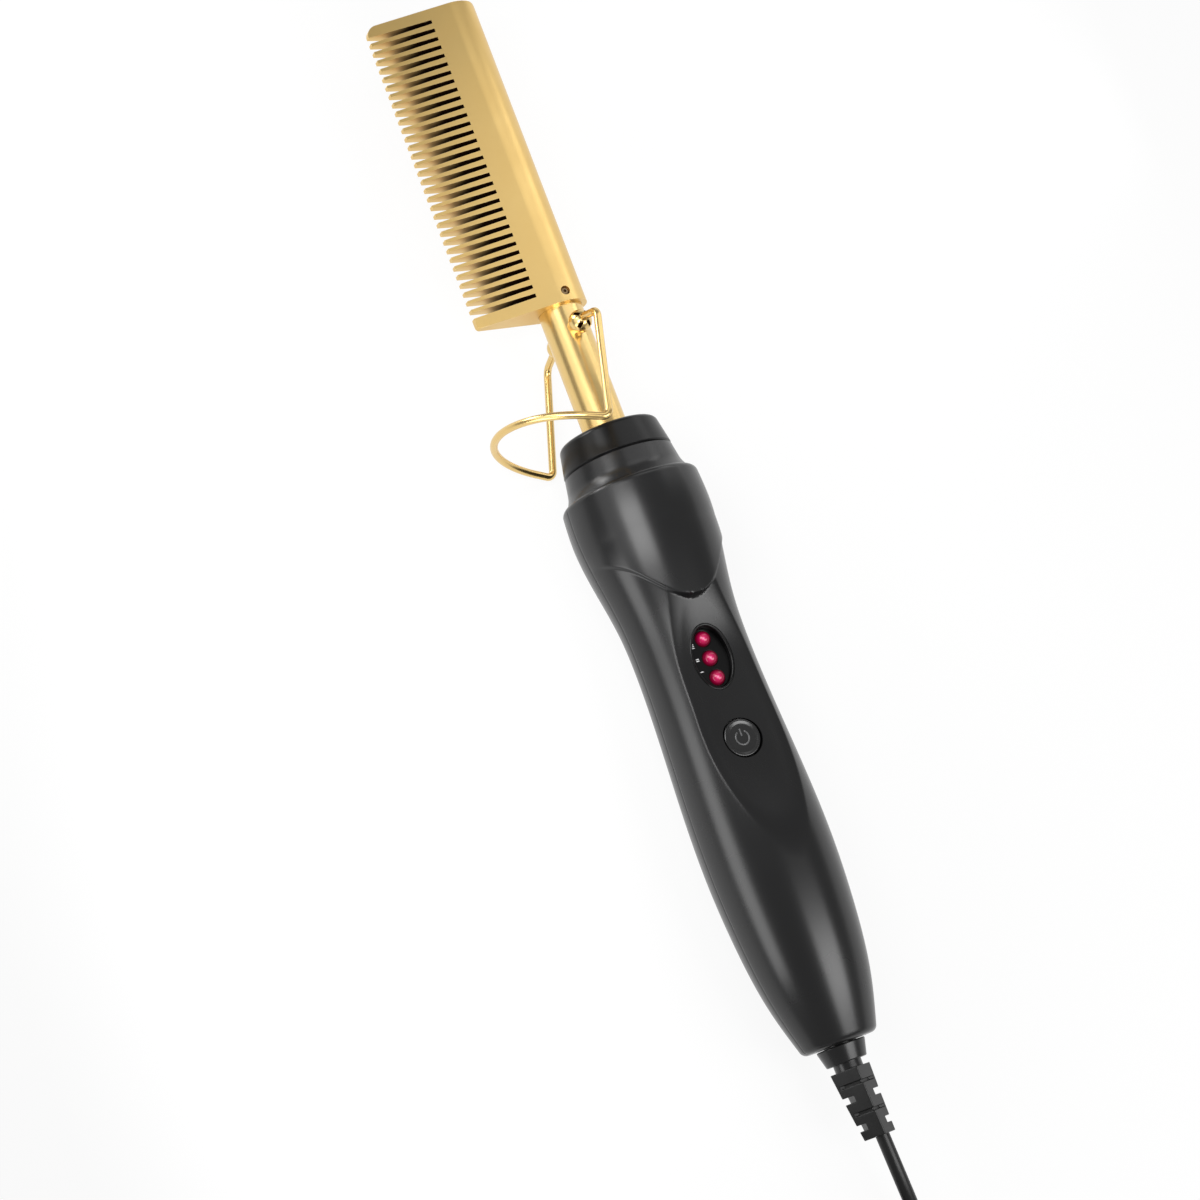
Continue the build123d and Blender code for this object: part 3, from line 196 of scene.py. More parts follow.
def mesh_from(
    name: str, points: np.ndarray, faces: Iterable[Sequence[int]], place: Matrix
) -> bpy.types.Object:
    """Makes a closed mesh from points in tool millimetres.

    Args:
        name: name of the new piece.
        points: array of points, one row each.
        faces: corner numbers of each face.
        place: matrix that puts the points into their place.

    Returns:
        The new piece with its faces pointing outwards.
    """
    mesh = bpy.data.meshes.new(name)
    mesh.from_pydata(points.tolist(), [], [list(face) for face in faces])
    work = bmesh.new()
    work.from_mesh(mesh)
    bmesh.ops.remove_doubles(work, verts=work.verts, dist=0.0005)
    bmesh.ops.dissolve_degenerate(work, dist=0.0005, edges=work.edges)
    bmesh.ops.recalc_face_normals(work, faces=work.faces)
    work.to_mesh(mesh)
    work.free()
    mesh.transform(place)
    return new_object(name, mesh)


def woven(name: str, grid: np.ndarray, place: Matrix, ring: bool = True) -> bpy.types.Object:
    """Makes a closed mesh from rows of points, each row a closed loop.

    Args:
        name: name of the new piece.
        grid: array of rows, of points in each row, of three lengths in millimetres.
        place: matrix that puts the points into their place.
        ring: whether the last row joins the first; otherwise both get a flat end.

    Returns:
        The closed mesh.
    """
    rows, across = grid.shape[:2]
    faces = [
        (i * across + j, (i + 1) % rows * across + j, (i + 1) % rows * across + k, i * across + k)
        for i in range(rows if ring else rows - 1)
        for j, k in zip(range(across), [*range(1, across), 0])
    ]
    if not ring:
        faces += [tuple(range(across)), tuple(range((rows - 1) * across, rows * across))]
    return mesh_from(name, grid.reshape(-1, 3), faces, place)


def turned(
    name: str, outline: Sequence[Sequence[float]], place: Matrix, steps: int = 96
) -> bpy.types.Object:
    """Turns a closed outline of (x, radius) about the X axis into a closed mesh."""
    line = np.array(outline, float)
    turn = np.linspace(0, 2 * math.pi, steps, endpoint=False)[:, None]
    along = np.broadcast_to(line[:, 0], (steps, len(line)))
    grid = np.stack([along, line[:, 1] * np.sin(turn), line[:, 1] * np.cos(turn)], axis=-1)
    return woven(name, grid, place)


def upright(x: float, y: float = 0.0) -> Matrix:
    """Stands a form turned about the X axis up along the tool's Z at a place."""
    return Matrix.Translation((x, y, 0)) @ Matrix.Rotation(-math.pi / 2, 4, "Y")


def rounded(corners: Sequence[Sequence[float]], closed: bool = True, steps: int = 6) -> list[np.ndarray]:
    """Line through corners, each rounded by an arc.

    Args:
        corners: places with the radius of the corner's arc as their last number, 0 for a sharp one.
        closed: whether the line returns to its start.
        steps: points on each arc.

    Returns:
        The points of the line.
    """
    places = [np.array(corner[:-1], float) for corner in corners]
    line = []
    for i, (here, radius) in enumerate(zip(places, (corner[-1] for corner in corners))):
        if radius <= 0 or (not closed and i in (0, len(places) - 1)):
            line.append(here)
            continue
        before = places[i - 1] - here
        after = places[(i + 1) % len(places)] - here
        before = before / np.linalg.norm(before)
        after = after / np.linalg.norm(after)
        half = math.acos(float(np.clip(before @ after, -1, 1))) / 2
        bisector = (before + after) / np.linalg.norm(before + after)
        centre = here + bisector * radius / math.sin(half)
        start = here + before * radius / math.tan(half) - centre
        end = here + after * radius / math.tan(half) - centre
        sweep = math.pi - 2 * half
        for share in np.linspace(0, 1, steps):
            turn = start * math.sin((1 - share) * sweep) + end * math.sin(share * sweep)
            line.append(centre + turn / math.sin(sweep))
    return line


def cut(piece: bpy.types.Object, cutters: Sequence[bpy.types.Object]) -> bpy.types.Object:
    """Cuts other meshes out of a piece and deletes them."""
    for cutter in cutters:
        tool = piece.modifiers.new("cut", "BOOLEAN")
        tool.operation = "DIFFERENCE"
        tool.solver = "EXACT"
        tool.object = cutter
    applied(piece)
    for cutter in cutters:
        bpy.data.objects.remove(cutter)
    return piece


def merged(name: str, parts: Sequence[bpy.types.Object]) -> bpy.types.Object:
    """Puts several closed meshes into one piece and deletes them."""
    work = bmesh.new()
    for part in parts:
        work.from_mesh(part.data)
        bpy.data.objects.remove(part)
    mesh = bpy.data.meshes.new(name)
    work.to_mesh(mesh)
    work.free()
    return new_object(name, mesh)


def prism(
    name: str, outline: Sequence[Sequence[float]], low: float, high: float, place: Matrix
) -> bpy.types.Object:
    """Upright bar over a closed outline of (x, y), from one height to another."""
    ring = np.array(outline, float)
    rows = [np.column_stack([ring, np.full(len(ring), z)]) for z in (low, high)]
    return woven(name, np.array(rows), place, ring=False)


def oval(half_x: float, half_y: float, x: float, y: float = 0.0, steps: int = 96) -> np.ndarray:
    """Points (x, y) round an oval."""
    turn = np.linspace(0, 2 * math.pi, steps, endpoint=False)
    return np.column_stack([x + half_x * np.cos(turn), y + half_y * np.sin(turn)])


# ------------------------------------------------------------------ smooth curves
@dataclass(frozen=True)
class FairCurve:
    """Smooth curve through points of a plane, with chosen directions at its ends.

    Attributes:
        points: points (x, height) that it passes.
        start: slope at its first point, or None for a free end.
        end: slope at its last point, or None for a free end.
    """

    points: tuple[Pair, ...]
    start: float | None = None
    end: float | None = None

    def samples(self, steps: int = 60) -> np.ndarray:
        """Points along the curve, steps for each span."""
        known = np.array(self.points, float)
        chord = np.linalg.norm(np.diff(known, axis=0), axis=1)
        count = len(known)
        system = np.zeros((count, count))
        right = np.zeros((count, 2))
        for i in range(1, count - 1):
            before, after = chord[i - 1], chord[i]
            system[i, i - 1 : i + 2] = [after, 2 * (before + after), before]
            right[i] = 3 * (
                after * (known[i] - known[i - 1]) / before + before * (known[i + 1] - known[i]) / after
            )
        ends = ((0, self.start, 1, 0), (count - 1, self.end, count - 2, count - 2))
        for row, slope, inner, first in ends:
            if slope is None:
                system[row, row] = 2
                system[row, inner] = 1
                right[row] = 3 * (known[first + 1] - known[first]) / chord[first]
            else:
                system[row, row] = 1
                right[row] = np.array([1.0, slope]) / math.hypot(1.0, slope)
        tangents = np.linalg.solve(system, right)
        pieces = []
        u = np.linspace(0, 1, steps, endpoint=False)[:, None]
        for i in range(count - 1):
            pieces.append(
                (2 * u**3 - 3 * u**2 + 1) * known[i]
                + (u**3 - 2 * u**2 + u) * chord[i] * tangents[i]
                + (3 * u**2 - 2 * u**3) * known[i + 1]
                + (u**3 - u**2) * chord[i] * tangents[i + 1]
            )
        return np.vstack(pieces + [known[-1:]])

    def height(self, x: np.ndarray) -> np.ndarray:
        """Height of the curve at each x, held level past its ends."""
        line = self.samples()
        return np.interp(x, line[:, 0], line[:, 1])


# ------------------------------------------------------------------ geometry node trees
@dataclass
class Workshop:
    """Geometry node trees that make what repeats in a row or follows a path."""

    made: dict[str, bpy.types.NodeTree] = field(default_factory=dict)

    def begin(self, name: str, sizes: dict[str, str]) -> tuple[bpy.types.NodeTree, bpy.types.Node]:
        """Starts a tree.

        Args:
            name: name of the tree.
            sizes: name and kind of each input after the base geometry.

        Returns:
            The tree and its input node.
        """
        tree = bpy.data.node_groups.new(name, "GeometryNodeTree")
        for label, kind in {"Base": "Geometry", **sizes, "Finish": "Material"}.items():
            tree.interface.new_socket(label, in_out="INPUT", socket_type=f"NodeSocket{kind}")
        tree.interface.new_socket("Made", in_out="OUTPUT", socket_type="NodeSocketGeometry")
        return tree, tree.nodes.new("NodeGroupInput")

    def end(self, tree: bpy.types.NodeTree, enter: bpy.types.Node, last: bpy.types.NodeSocket) -> None:
        """Ends a tree with real geometry and its material."""
        real = tree.nodes.new("GeometryNodeRealizeInstances")
        dressed = tree.nodes.new("GeometryNodeSetMaterial")
        leave = tree.nodes.new("NodeGroupOutput")
        tree.links.new(last, real.inputs["Geometry"])
        tree.links.new(real.outputs["Geometry"], dressed.inputs["Geometry"])
        tree.links.new(enter.outputs["Finish"], dressed.inputs["Material"])
        tree.links.new(dressed.outputs["Geometry"], leave.inputs["Made"])
        self.made[tree.name] = tree

    def row(self) -> bpy.types.NodeTree:
        """Copies of the base geometry at even steps along a line."""
        if "row_of_copies" not in self.made:
            sizes = {"Count": "Int", "Start": "Vector", "Step": "Vector"}
            tree, enter = self.begin("row_of_copies", sizes)
            line = tree.nodes.new("GeometryNodeMeshLine")
            line.mode = "OFFSET"
            copies = tree.nodes.new("GeometryNodeInstanceOnPoints")
            for label, place in (("Count", "Count"), ("Start", "Start Location"), ("Step", "Offset")):
                tree.links.new(enter.outputs[label], line.inputs[place])
            tree.links.new(line.outputs["Mesh"], copies.inputs["Points"])
            tree.links.new(enter.outputs["Base"], copies.inputs["Instance"])
            self.end(tree, enter, copies.outputs["Instances"])
        return self.made["row_of_copies"]

    def wire(self) -> bpy.types.NodeTree:
        """Round wire with flat ends along the base curve."""
        if "wire_along_path" not in self.made:
            tree, enter = self.begin("wire_along_path", {"Radius": "Float", "Sides": "Int"})
            ring = tree.nodes.new("GeometryNodeCurvePrimitiveCircle")
            swept = tree.nodes.new("GeometryNodeCurveToMesh")
            swept.inputs["Fill Caps"].default_value = True
            tree.links.new(enter.outputs["Sides"], ring.inputs["Resolution"])
            tree.links.new(enter.outputs["Radius"], ring.inputs["Radius"])
            tree.links.new(enter.outputs["Base"], swept.inputs["Curve"])
            tree.links.new(ring.outputs["Curve"], swept.inputs["Profile Curve"])
            self.end(tree, enter, swept.outputs["Mesh"])
        return self.made["wire_along_path"]

    def grow(
        self, tree: bpy.types.NodeTree, base: bpy.types.Object, name: str, place: Matrix, **values: object
    ) -> bpy.types.Object:
        """Runs a tree on a base object.

        Args:
            tree: the tree.
            base: object that gives the base geometry, deleted afterwards.
            name: name of the new piece.
            place: matrix that puts the result into its place.
            values: the tree's inputs, by their names in small letters.

        Returns:
            The result as a plain mesh.
        """
        modifier = base.modifiers.new(tree.name, "NODES")
        modifier.node_group = tree
        for item in tree.interface.items_tree:
            if item.in_out == "INPUT" and item.name.lower() in values:
                modifier[item.identifier] = values[item.name.lower()]
        bpy.context.view_layer.update()
        mesh = bpy.data.meshes.new_from_object(base.evaluated_get(bpy.context.evaluated_depsgraph_get()))
        bpy.data.objects.remove(base)
        mesh.transform(place)
        work = bmesh.new()
        work.from_mesh(mesh)
        bmesh.ops.recalc_face_normals(work, faces=work.faces)
        work.to_mesh(mesh)
        work.free()
        return new_object(name, mesh)

    def piped(
        self, name: str, line: Sequence[Sequence[float]], radius: float, place: Matrix,
        finish: bpy.types.Material, sides: int = 20,
    ) -> bpy.types.Object:
        """Round wire along a line of points.

        Args:
            name: name of the new piece.
            line: points in tool millimetres.
            radius: the wire's radius in millimetres.
            place: matrix that puts the wire into its place.
            finish: the wire's material.
            sides: points round the wire.

        Returns:
            The wire.
        """
        curve = bpy.data.curves.new(name + "_path", "CURVE")
        curve.dimensions = "3D"
        spline = curve.splines.new("POLY")
        spline.points.add(len(line) - 1)
        for point, spot in zip(spline.points, line):
            point.co = (*spot, 1.0)
        base = new_object(name + "_path", curve)
        return self.grow(self.wire(), base, name, place, radius=radius, sides=sides, finish=finish)


# ------------------------------------------------------------------ shader node groups
@dataclass
class GroupKit:
    """Shader node groups that several finishes share."""

    made: dict[str, bpy.types.NodeTree] = field(default_factory=dict)

    def begin(
        self, name: str, sizes: dict[str, float], results: Sequence[str]
    ) -> tuple[bpy.types.NodeTree, bpy.types.Node, bpy.types.Node]:
        """Starts a group that reads a place on the surface.

        Args:
            name: name of the group.
            sizes: name and default of each number that it takes.
            results: names of the numbers that it gives.

        Returns:
            The group and its input and output nodes.
        """
        tree = bpy.data.node_groups.new(name, "ShaderNodeTree")
        tree.interface.new_socket("Vector", in_out="INPUT", socket_type="NodeSocketVector")
        for label, value in sizes.items():
            made = tree.interface.new_socket(label, in_out="INPUT", socket_type="NodeSocketFloat")
            made.default_value = value
        for label in results:
            tree.interface.new_socket(label, in_out="OUTPUT", socket_type="NodeSocketFloat")
        self.made[name] = tree
        return tree, tree.nodes.new("NodeGroupInput"), tree.nodes.new("NodeGroupOutput")

    def grain(self) -> bpy.types.NodeTree:
        """Fine surface grain: Height for a bump and a slow Tone from 0 to 1."""
        if "surface_grain" in self.made:
            return self.made["surface_grain"]
        sizes = {"Fineness": 2500.0, "Clouds": 40.0}
        tree, enter, leave = self.begin("surface_grain", sizes, ("Height", "Tone"))
        fine = tree.nodes.new("ShaderNodeTexNoise")
        fine.inputs["Detail"].default_value = 2.0
        slow = tree.nodes.new("ShaderNodeTexNoise")
        slow.inputs["Detail"].default_value = 4.0
        spread = tree.nodes.new("ShaderNodeMapRange")
        spread.inputs["From Min"].default_value = 0.3
        spread.inputs["From Max"].default_value = 0.7
        link = tree.links.new
        link(enter.outputs["Vector"], fine.inputs["Vector"])
        link(enter.outputs["Fineness"], fine.inputs["Scale"])
        link(enter.outputs["Vector"], slow.inputs["Vector"])
        link(enter.outputs["Clouds"], slow.inputs["Scale"])
        link(slow.outputs["Fac"], spread.inputs["Value"])
        link(fine.outputs["Fac"], leave.inputs["Height"])
        link(spread.outputs["Result"], leave.inputs["Tone"])
        return tree

    def edge(self) -> bpy.types.NodeTree:
        """Mask that is 1 on worn outer edges and 0 elsewhere, broken up by a noise."""
        if "edge_wear" in self.made:
            return self.made["edge_wear"]
        tree, enter, leave = self.begin("edge_wear", {"Reach": 0.0003, "Breaks": 900.0}, ("Mask",))
        round_off = tree.nodes.new("ShaderNodeBevel")
        round_off.samples = 4
        surface = tree.nodes.new("ShaderNodeNewGeometry")
        dot = tree.nodes.new("ShaderNodeVectorMath")
        dot.operation = "DOT_PRODUCT"
        ramp = tree.nodes.new("ShaderNodeMapRange")
        ramp.inputs["From Min"].default_value = 0.985
        ramp.inputs["From Max"].default_value = 0.86
        noise = tree.nodes.new("ShaderNodeTexNoise")
        noise.inputs["Detail"].default_value = 3.0
        gate = tree.nodes.new("ShaderNodeMapRange")
        gate.inputs["From Min"].default_value = 0.42
        gate.inputs["From Max"].default_value = 0.62
        product = tree.nodes.new("ShaderNodeMath")
        product.operation = "MULTIPLY"
        link = tree.links.new
        link(enter.outputs["Reach"], round_off.inputs["Radius"])
        link(round_off.outputs["Normal"], dot.inputs[0])
        link(surface.outputs["Normal"], dot.inputs[1])
        link(dot.outputs["Value"], ramp.inputs["Value"])
        link(enter.outputs["Vector"], noise.inputs["Vector"])
        link(enter.outputs["Breaks"], noise.inputs["Scale"])
        link(noise.outputs["Fac"], gate.inputs["Value"])
        link(ramp.outputs["Result"], product.inputs[0])
        link(gate.outputs["Result"], product.inputs[1])
        link(product.outputs["Value"], leave.inputs["Mask"])
        return tree


# ------------------------------------------------------------------ finishes
@dataclass(frozen=True)
class Finish:
    """Look of one material of the tool.

    Attributes:
        slot: the record's material slot that it stands for.
        colour: base colour, linear.
        other: colour that slow clouds mix in.
        roughness: middle roughness.
        metallic: 1 for metal.
        specular: specular level of a non-metal.
        rough_spread: how much the clouds change the roughness.
        cloud_share: how much of the other colour the clouds bring.
        coat: weight of a clear coat.
        grain: size of the fine grain in millimetres.
        grain_depth: height of the fine grain in millimetres.
        clouds: size of the slow clouds in millimetres.
        wear: colour of the worn edges.
        wear_share: how strongly the worn edges show.
        wear_reach: width of the worn edges in millimetres.
        shaded: attribute that darkens the colour towards the shade where it nears 1.
        shade: the dark colour of deep places.
        name: name of the material, the slot's if it has none.
    """

    slot: str
    colour: Colour
    other: Colour
    roughness: float = 0.4
    metallic: float = 0.0
    specular: float = 0.5
    rough_spread: float = 0.05
    cloud_share: float = 0.6
    coat: float = 0.0
    grain: float = 0.3
    grain_depth: float = 0.003
    clouds: float = 6.0
    wear: Colour = (0.5, 0.5, 0.5)
    wear_share: float = 0.0
    # shaded: attribute that darkens the colour towards the shade where it nears 1, as painted shade.
    # shade: the dark colour of the painted shade in deep places.
    wear_reach: float = 0.25
    shaded: str = ""
    shade: Colour = (0.02, 0.006, 0.001)
    name: str = ""

    def build(self, kit: GroupKit) -> bpy.types.Material:
        """Makes the material.

        Args:
            kit: the shared node groups.

        Returns:
            The new material.
        """
        material = bpy.data.materials.new(self.name or self.slot)
        material.use_nodes = True
        tree = material.node_tree
        link = tree.links.new
        shader = tree.nodes["Principled BSDF"]
        shader.inputs["Metallic"].default_value = self.metallic
        shader.inputs["Specular IOR Level"].default_value = self.specular
        shader.inputs["Coat Weight"].default_value = self.coat
        shader.inputs["Coat Roughness"].default_value = 0.1
        place = tree.nodes.new("ShaderNodeTexCoord")
        grain = tree.nodes.new("ShaderNodeGroup")
        grain.node_tree = kit.grain()
        grain.inputs["Fineness"].default_value = 1.0 / (self.grain * MM)
        grain.inputs["Clouds"].default_value = 1.0 / (self.clouds * MM)
        link(place.outputs["Object"], grain.inputs["Vector"])
        share = tree.nodes.new("ShaderNodeMapRange")
        share.inputs["To Max"].default_value = self.cloud_share
        link(grain.outputs["Tone"], share.inputs["Value"])
        tint = tree.nodes.new("ShaderNodeMix")
        tint.data_type = "RGBA"
        tint.inputs["A"].default_value = (*self.colour, 1.0)
        tint.inputs["B"].default_value = (*self.other, 1.0)
        link(share.outputs["Result"], tint.inputs["Factor"])
        colour = tint.outputs["Result"]
        if self.wear_share:
            colour = self.worn(tree, kit, place, colour)
        rough = tree.nodes.new("ShaderNodeMapRange")
        rough.inputs["To Min"].default_value = self.roughness - self.rough_spread
        rough.inputs["To Max"].default_value = self.roughness + self.rough_spread
        link(grain.outputs["Tone"], rough.inputs["Value"])
        roughness = rough.outputs["Result"]
        if self.shaded:
            colour, roughness = self.deep(tree, colour, roughness)
        link(colour, shader.inputs["Base Color"])
        link(roughness, shader.inputs["Roughness"])
        bump = tree.nodes.new("ShaderNodeBump")
        bump.inputs["Strength"].default_value = 1.0
        bump.inputs["Distance"].default_value = self.grain_depth * MM
        link(grain.outputs["Height"], bump.inputs["Height"])
        link(bump.outputs["Normal"], shader.inputs["Normal"])
        return material

    def worn(
        self, tree: bpy.types.NodeTree, kit: GroupKit, place: bpy.types.Node, colour: bpy.types.NodeSocket
    ) -> bpy.types.NodeSocket:
        """Mixes the colour of worn edges into the base colour.

        Args:
            tree: the material's nodes.
            kit: the shared node groups.
            place: the node that gives the place on the surface.
            colour: the colour without wear.

        Returns:
            The mixed colour.
        """
        edge = tree.nodes.new("ShaderNodeGroup")
        edge.node_tree = kit.edge()
        edge.inputs["Reach"].default_value = self.wear_reach * MM
        share = tree.nodes.new("ShaderNodeMath")
        share.operation = "MULTIPLY"
        share.inputs[1].default_value = self.wear_share
        mix = tree.nodes.new("ShaderNodeMix")
        mix.data_type = "RGBA"
        mix.inputs["B"].default_value = (*self.wear, 1.0)
        tree.links.new(place.outputs["Object"], edge.inputs["Vector"])
        tree.links.new(edge.outputs["Mask"], share.inputs[0])
        tree.links.new(share.outputs["Value"], mix.inputs["Factor"])
        tree.links.new(colour, mix.inputs["A"])
        return mix.outputs["Result"]

    def deep(
        self, tree: bpy.types.NodeTree, colour: bpy.types.NodeSocket, roughness: bpy.types.NodeSocket
    ) -> tuple[bpy.types.NodeSocket, bpy.types.NodeSocket]:
        """Paints shade into deep places: darkens their colour and makes them dull.

        Args:
            tree: the material's nodes.
            colour: the colour of the open surface.
            roughness: the roughness of the open surface.

        Returns:
            The mixed colour and the mixed roughness.
        """
        depth = tree.nodes.new("ShaderNodeAttribute")
        depth.attribute_name = self.shaded
        ramp = tree.nodes.new("ShaderNodeMapRange")
        ramp.interpolation_type = "SMOOTHSTEP"
        ramp.inputs["From Min"].default_value = 0.22
        ramp.inputs["From Max"].default_value = 0.7
        dark = tree.nodes.new("ShaderNodeMix")
        dark.data_type = "RGBA"
        dark.inputs["B"].default_value = (*self.shade, 1.0)
        dull = tree.nodes.new("ShaderNodeMapRange")
        dull.inputs["To Max"].default_value = 1.0
        tree.links.new(depth.outputs["Fac"], ramp.inputs["Value"])
        tree.links.new(ramp.outputs["Result"], dark.inputs["Factor"])
        tree.links.new(colour, dark.inputs["A"])
        tree.links.new(ramp.outputs["Result"], dull.inputs["Value"])
        tree.links.new(roughness, dull.inputs["To Min"])
        return dark.outputs["Result"], dull.outputs["Result"]


@dataclass(frozen=True)
class LampGlow:
    """Lit red lens, brightest where its attribute "glow" is 0.

    Attributes:
        slot: the record's material slot that it stands for.
        steps: places on the glow's scale with their colours.
        strength: brightness of the glow.
    """

    slot: str = "red_lens"
    steps: tuple[tuple[float, Colour], ...] = (
        (0.0, (1.0, 0.62, 0.8)),
        (0.1, (0.95, 0.22, 0.42)),
        (0.26, (0.6, 0.014, 0.12)),
        (0.55, (0.34, 0.001, 0.05)),
        (0.82, (0.12, 0.0, 0.014)),
        (1.0, (0.02, 0.0, 0.002)),
    )
    strength: float = 1.0

    def build(self, kit: GroupKit) -> bpy.types.Material:
        """Makes the material.

        Args:
            kit: the shared node groups.

        Returns:
            The new material.
        """
        material = bpy.data.materials.new(self.slot)
        material.use_nodes = True
        tree = material.node_tree
        shader = tree.nodes["Principled BSDF"]
        shader.inputs["Roughness"].default_value = 0.12
        shader.inputs["Emission Strength"].default_value = self.strength
        spot = tree.nodes.new("ShaderNodeAttribute")
        spot.attribute_name = "glow"
        ramp = tree.nodes.new("ShaderNodeValToRGB")
        marks = ramp.color_ramp.elements
        while len(marks) < len(self.steps):
            marks.new(0.5)
        for mark, (at, colour) in zip(marks, self.steps):
            mark.position = at
            mark.color = (*colour, 1.0)
        place = tree.nodes.new("ShaderNodeTexCoord")
        grain = tree.nodes.new("ShaderNodeGroup")
        grain.node_tree = kit.grain()
        lens = tree.nodes.new("ShaderNodeMix")
        lens.data_type = "RGBA"
        lens.inputs["A"].default_value = (0.03, 0.001, 0.004, 1.0)
        lens.inputs["B"].default_value = (0.05, 0.002, 0.007, 1.0)
        link = tree.links.new
        link(place.outputs["Object"], grain.inputs["Vector"])
        link(grain.outputs["Tone"], lens.inputs["Factor"])
        link(lens.outputs["Result"], shader.inputs["Base Color"])
        link(spot.outputs["Fac"], ramp.inputs["Fac"])
        link(ramp.outputs["Color"], shader.inputs["Emission Color"])
        return material


# Painted shade: the slot walls darken towards the slots' roots, read from the slot_depth attribute.
GOLD_HEAD = Finish(
    "gold_aluminium", (0.79, 0.555, 0.215), (0.75, 0.515, 0.19), 0.38, 1.0, rough_spread=0.03,
    grain=0.22, grain_depth=0.005, clouds=9.0, wear=(0.93, 0.78, 0.45), wear_share=0.7, wear_reach=0.2,
    shaded="slot_depth",
)
GOLD_STEEL = Finish(
    "gold_steel", (0.81, 0.58, 0.24), (0.76, 0.53, 0.21), 0.24, 1.0, rough_spread=0.03,
    grain=0.3, grain_depth=0.0022, clouds=7.0, wear=(0.92, 0.78, 0.46), wear_share=0.4, wear_reach=0.2,
)
# Painted shade: the stake marks on the lugs darken with depth, read from the stake_depth attribute.
GOLD_LUG = replace(GOLD_STEEL, clouds=3.0, shaded="stake_depth", name="gold_steel_stake_shade")
CHARCOAL = Finish(
    "charcoal_plastic", (0.0055, 0.0055, 0.0058), (0.0065, 0.0065, 0.0068), 0.27, 0.0, 0.52,
    rough_spread=0.015, grain=0.12, grain_depth=0.0008, clouds=22.0,
)
GLOSS_BLACK = Finish(
    "black_gloss_plastic", (0.001, 0.001, 0.0011), (0.0015, 0.0015, 0.0016), 0.3, 0.0, 0.3,
    rough_spread=0.015, grain=0.5, grain_depth=0.0005, clouds=18.0,
)
SATIN_BLACK = Finish(
    "black_satin_plastic", (0.006, 0.006, 0.0062), (0.008, 0.008, 0.0082), 0.26, 0.0, 0.7,
    rough_spread=0.02, grain=0.15, grain_depth=0.001, clouds=8.0,
)
BLACK_RUBBER = Finish(
    "black_rubber", (0.005, 0.005, 0.005), (0.008, 0.008, 0.008), 0.36, 0.0, 0.4,
    grain=0.25, grain_depth=0.003, wear=(0.06, 0.06, 0.06), wear_share=0.35,
)
SCREW_STEEL = Finish("screw_steel", (0.42, 0.41, 0.40), (0.30, 0.29, 0.28), 0.32, 1.0, clouds=2.0)
DARK_SCREW = Finish(
    "screw_steel", (0.26, 0.18, 0.10), (0.16, 0.11, 0.06), 0.34, 1.0, clouds=1.0, name="screw_burnished",
)
NICKEL = Finish("nickel_steel", (0.74, 0.72, 0.68), (0.66, 0.64, 0.60), 0.2, 1.0, clouds=5.0)
WHITE_INK = Finish(
    "black_gloss_plastic", (0.75, 0.75, 0.75), (0.6, 0.6, 0.6), 0.5, clouds=0.5, name="white_ink",
)
# Painted glints: a lighter, finely speckled grey on the button's own black plastic makes the raised
# symbol look lit.
SYMBOL_GLINT_PAINT = Finish(
    "black_satin_plastic", (0.12, 0.12, 0.122), (0.05, 0.05, 0.052), 0.25, 0.0, 0.6,
    clouds=0.8, name="symbol_painted_glints",
)
INNER_FINISHES: dict[Finish, tuple[str, ...]] = {
    Finish("bare_aluminium", (0.72, 0.72, 0.74), (0.62, 0.62, 0.64), 0.36, 1.0): (
        "heater_electrode_spine", "heater_electrode_teeth",
    ),
    Finish("brass", (0.72, 0.52, 0.2), (0.6, 0.42, 0.16), 0.26, 1.0, clouds=2.0): (
        "brush_contacts", "slip_ring_rear", "slip_ring_front",
    ),
    Finish("spring_steel", (0.35, 0.35, 0.37), (0.28, 0.28, 0.3), 0.3, 1.0, clouds=3.0): (
        "swivel_retainer",
    ),
    Finish("ceramic", (0.78, 0.76, 0.71), (0.7, 0.67, 0.61), 0.6, grain_depth=0.01): (
        "heater_sleeve", "shaft_bushing",
    ),
    Finish("heater_ceramic", (0.11, 0.10, 0.095), (0.16, 0.14, 0.13), 0.5): ("heater_tablets",),
    Finish("lead_insulation", (0.62, 0.58, 0.5), (0.5, 0.46, 0.4), 0.75, grain=0.5, grain_depth=0.06): (
        "heater_leads",
    ),
    Finish("sensor_glass", (0.4, 0.16, 0.08), (0.3, 0.1, 0.05), 0.15, coat=0.6): ("thermistor",),
    Finish("board_laminate", (0.015, 0.12, 0.045), (0.02, 0.16, 0.06), 0.35, coat=0.3, clouds=3.0): (
        "circuit_board",
    ),
    Finish("component_black", (0.014, 0.014, 0.014), (0.022, 0.022, 0.022), 0.55): (
        "controller_chip", "switch_plunger", "tact_switch", "triac",
    ),
    Finish("film_capacitor", (0.5, 0.25, 0.04), (0.42, 0.2, 0.03), 0.25, coat=0.5): ("film_capacitor",),
    Finish("capacitor_sleeve", (0.012, 0.02, 0.09), (0.016, 0.028, 0.12), 0.3): (
        "electrolytic_capacitor",
    ),
    Finish("resistor_body", (0.28, 0.38, 0.34), (0.22, 0.31, 0.28), 0.7, grain_depth=0.02): (
        "dropper_resistor",
    ),
    Finish("terminal_green", (0.02, 0.22, 0.08), (0.025, 0.26, 0.1), 0.4): ("terminal_block",),
    SCREW_STEEL: ("board_screws", "thermal_fuse"),
}


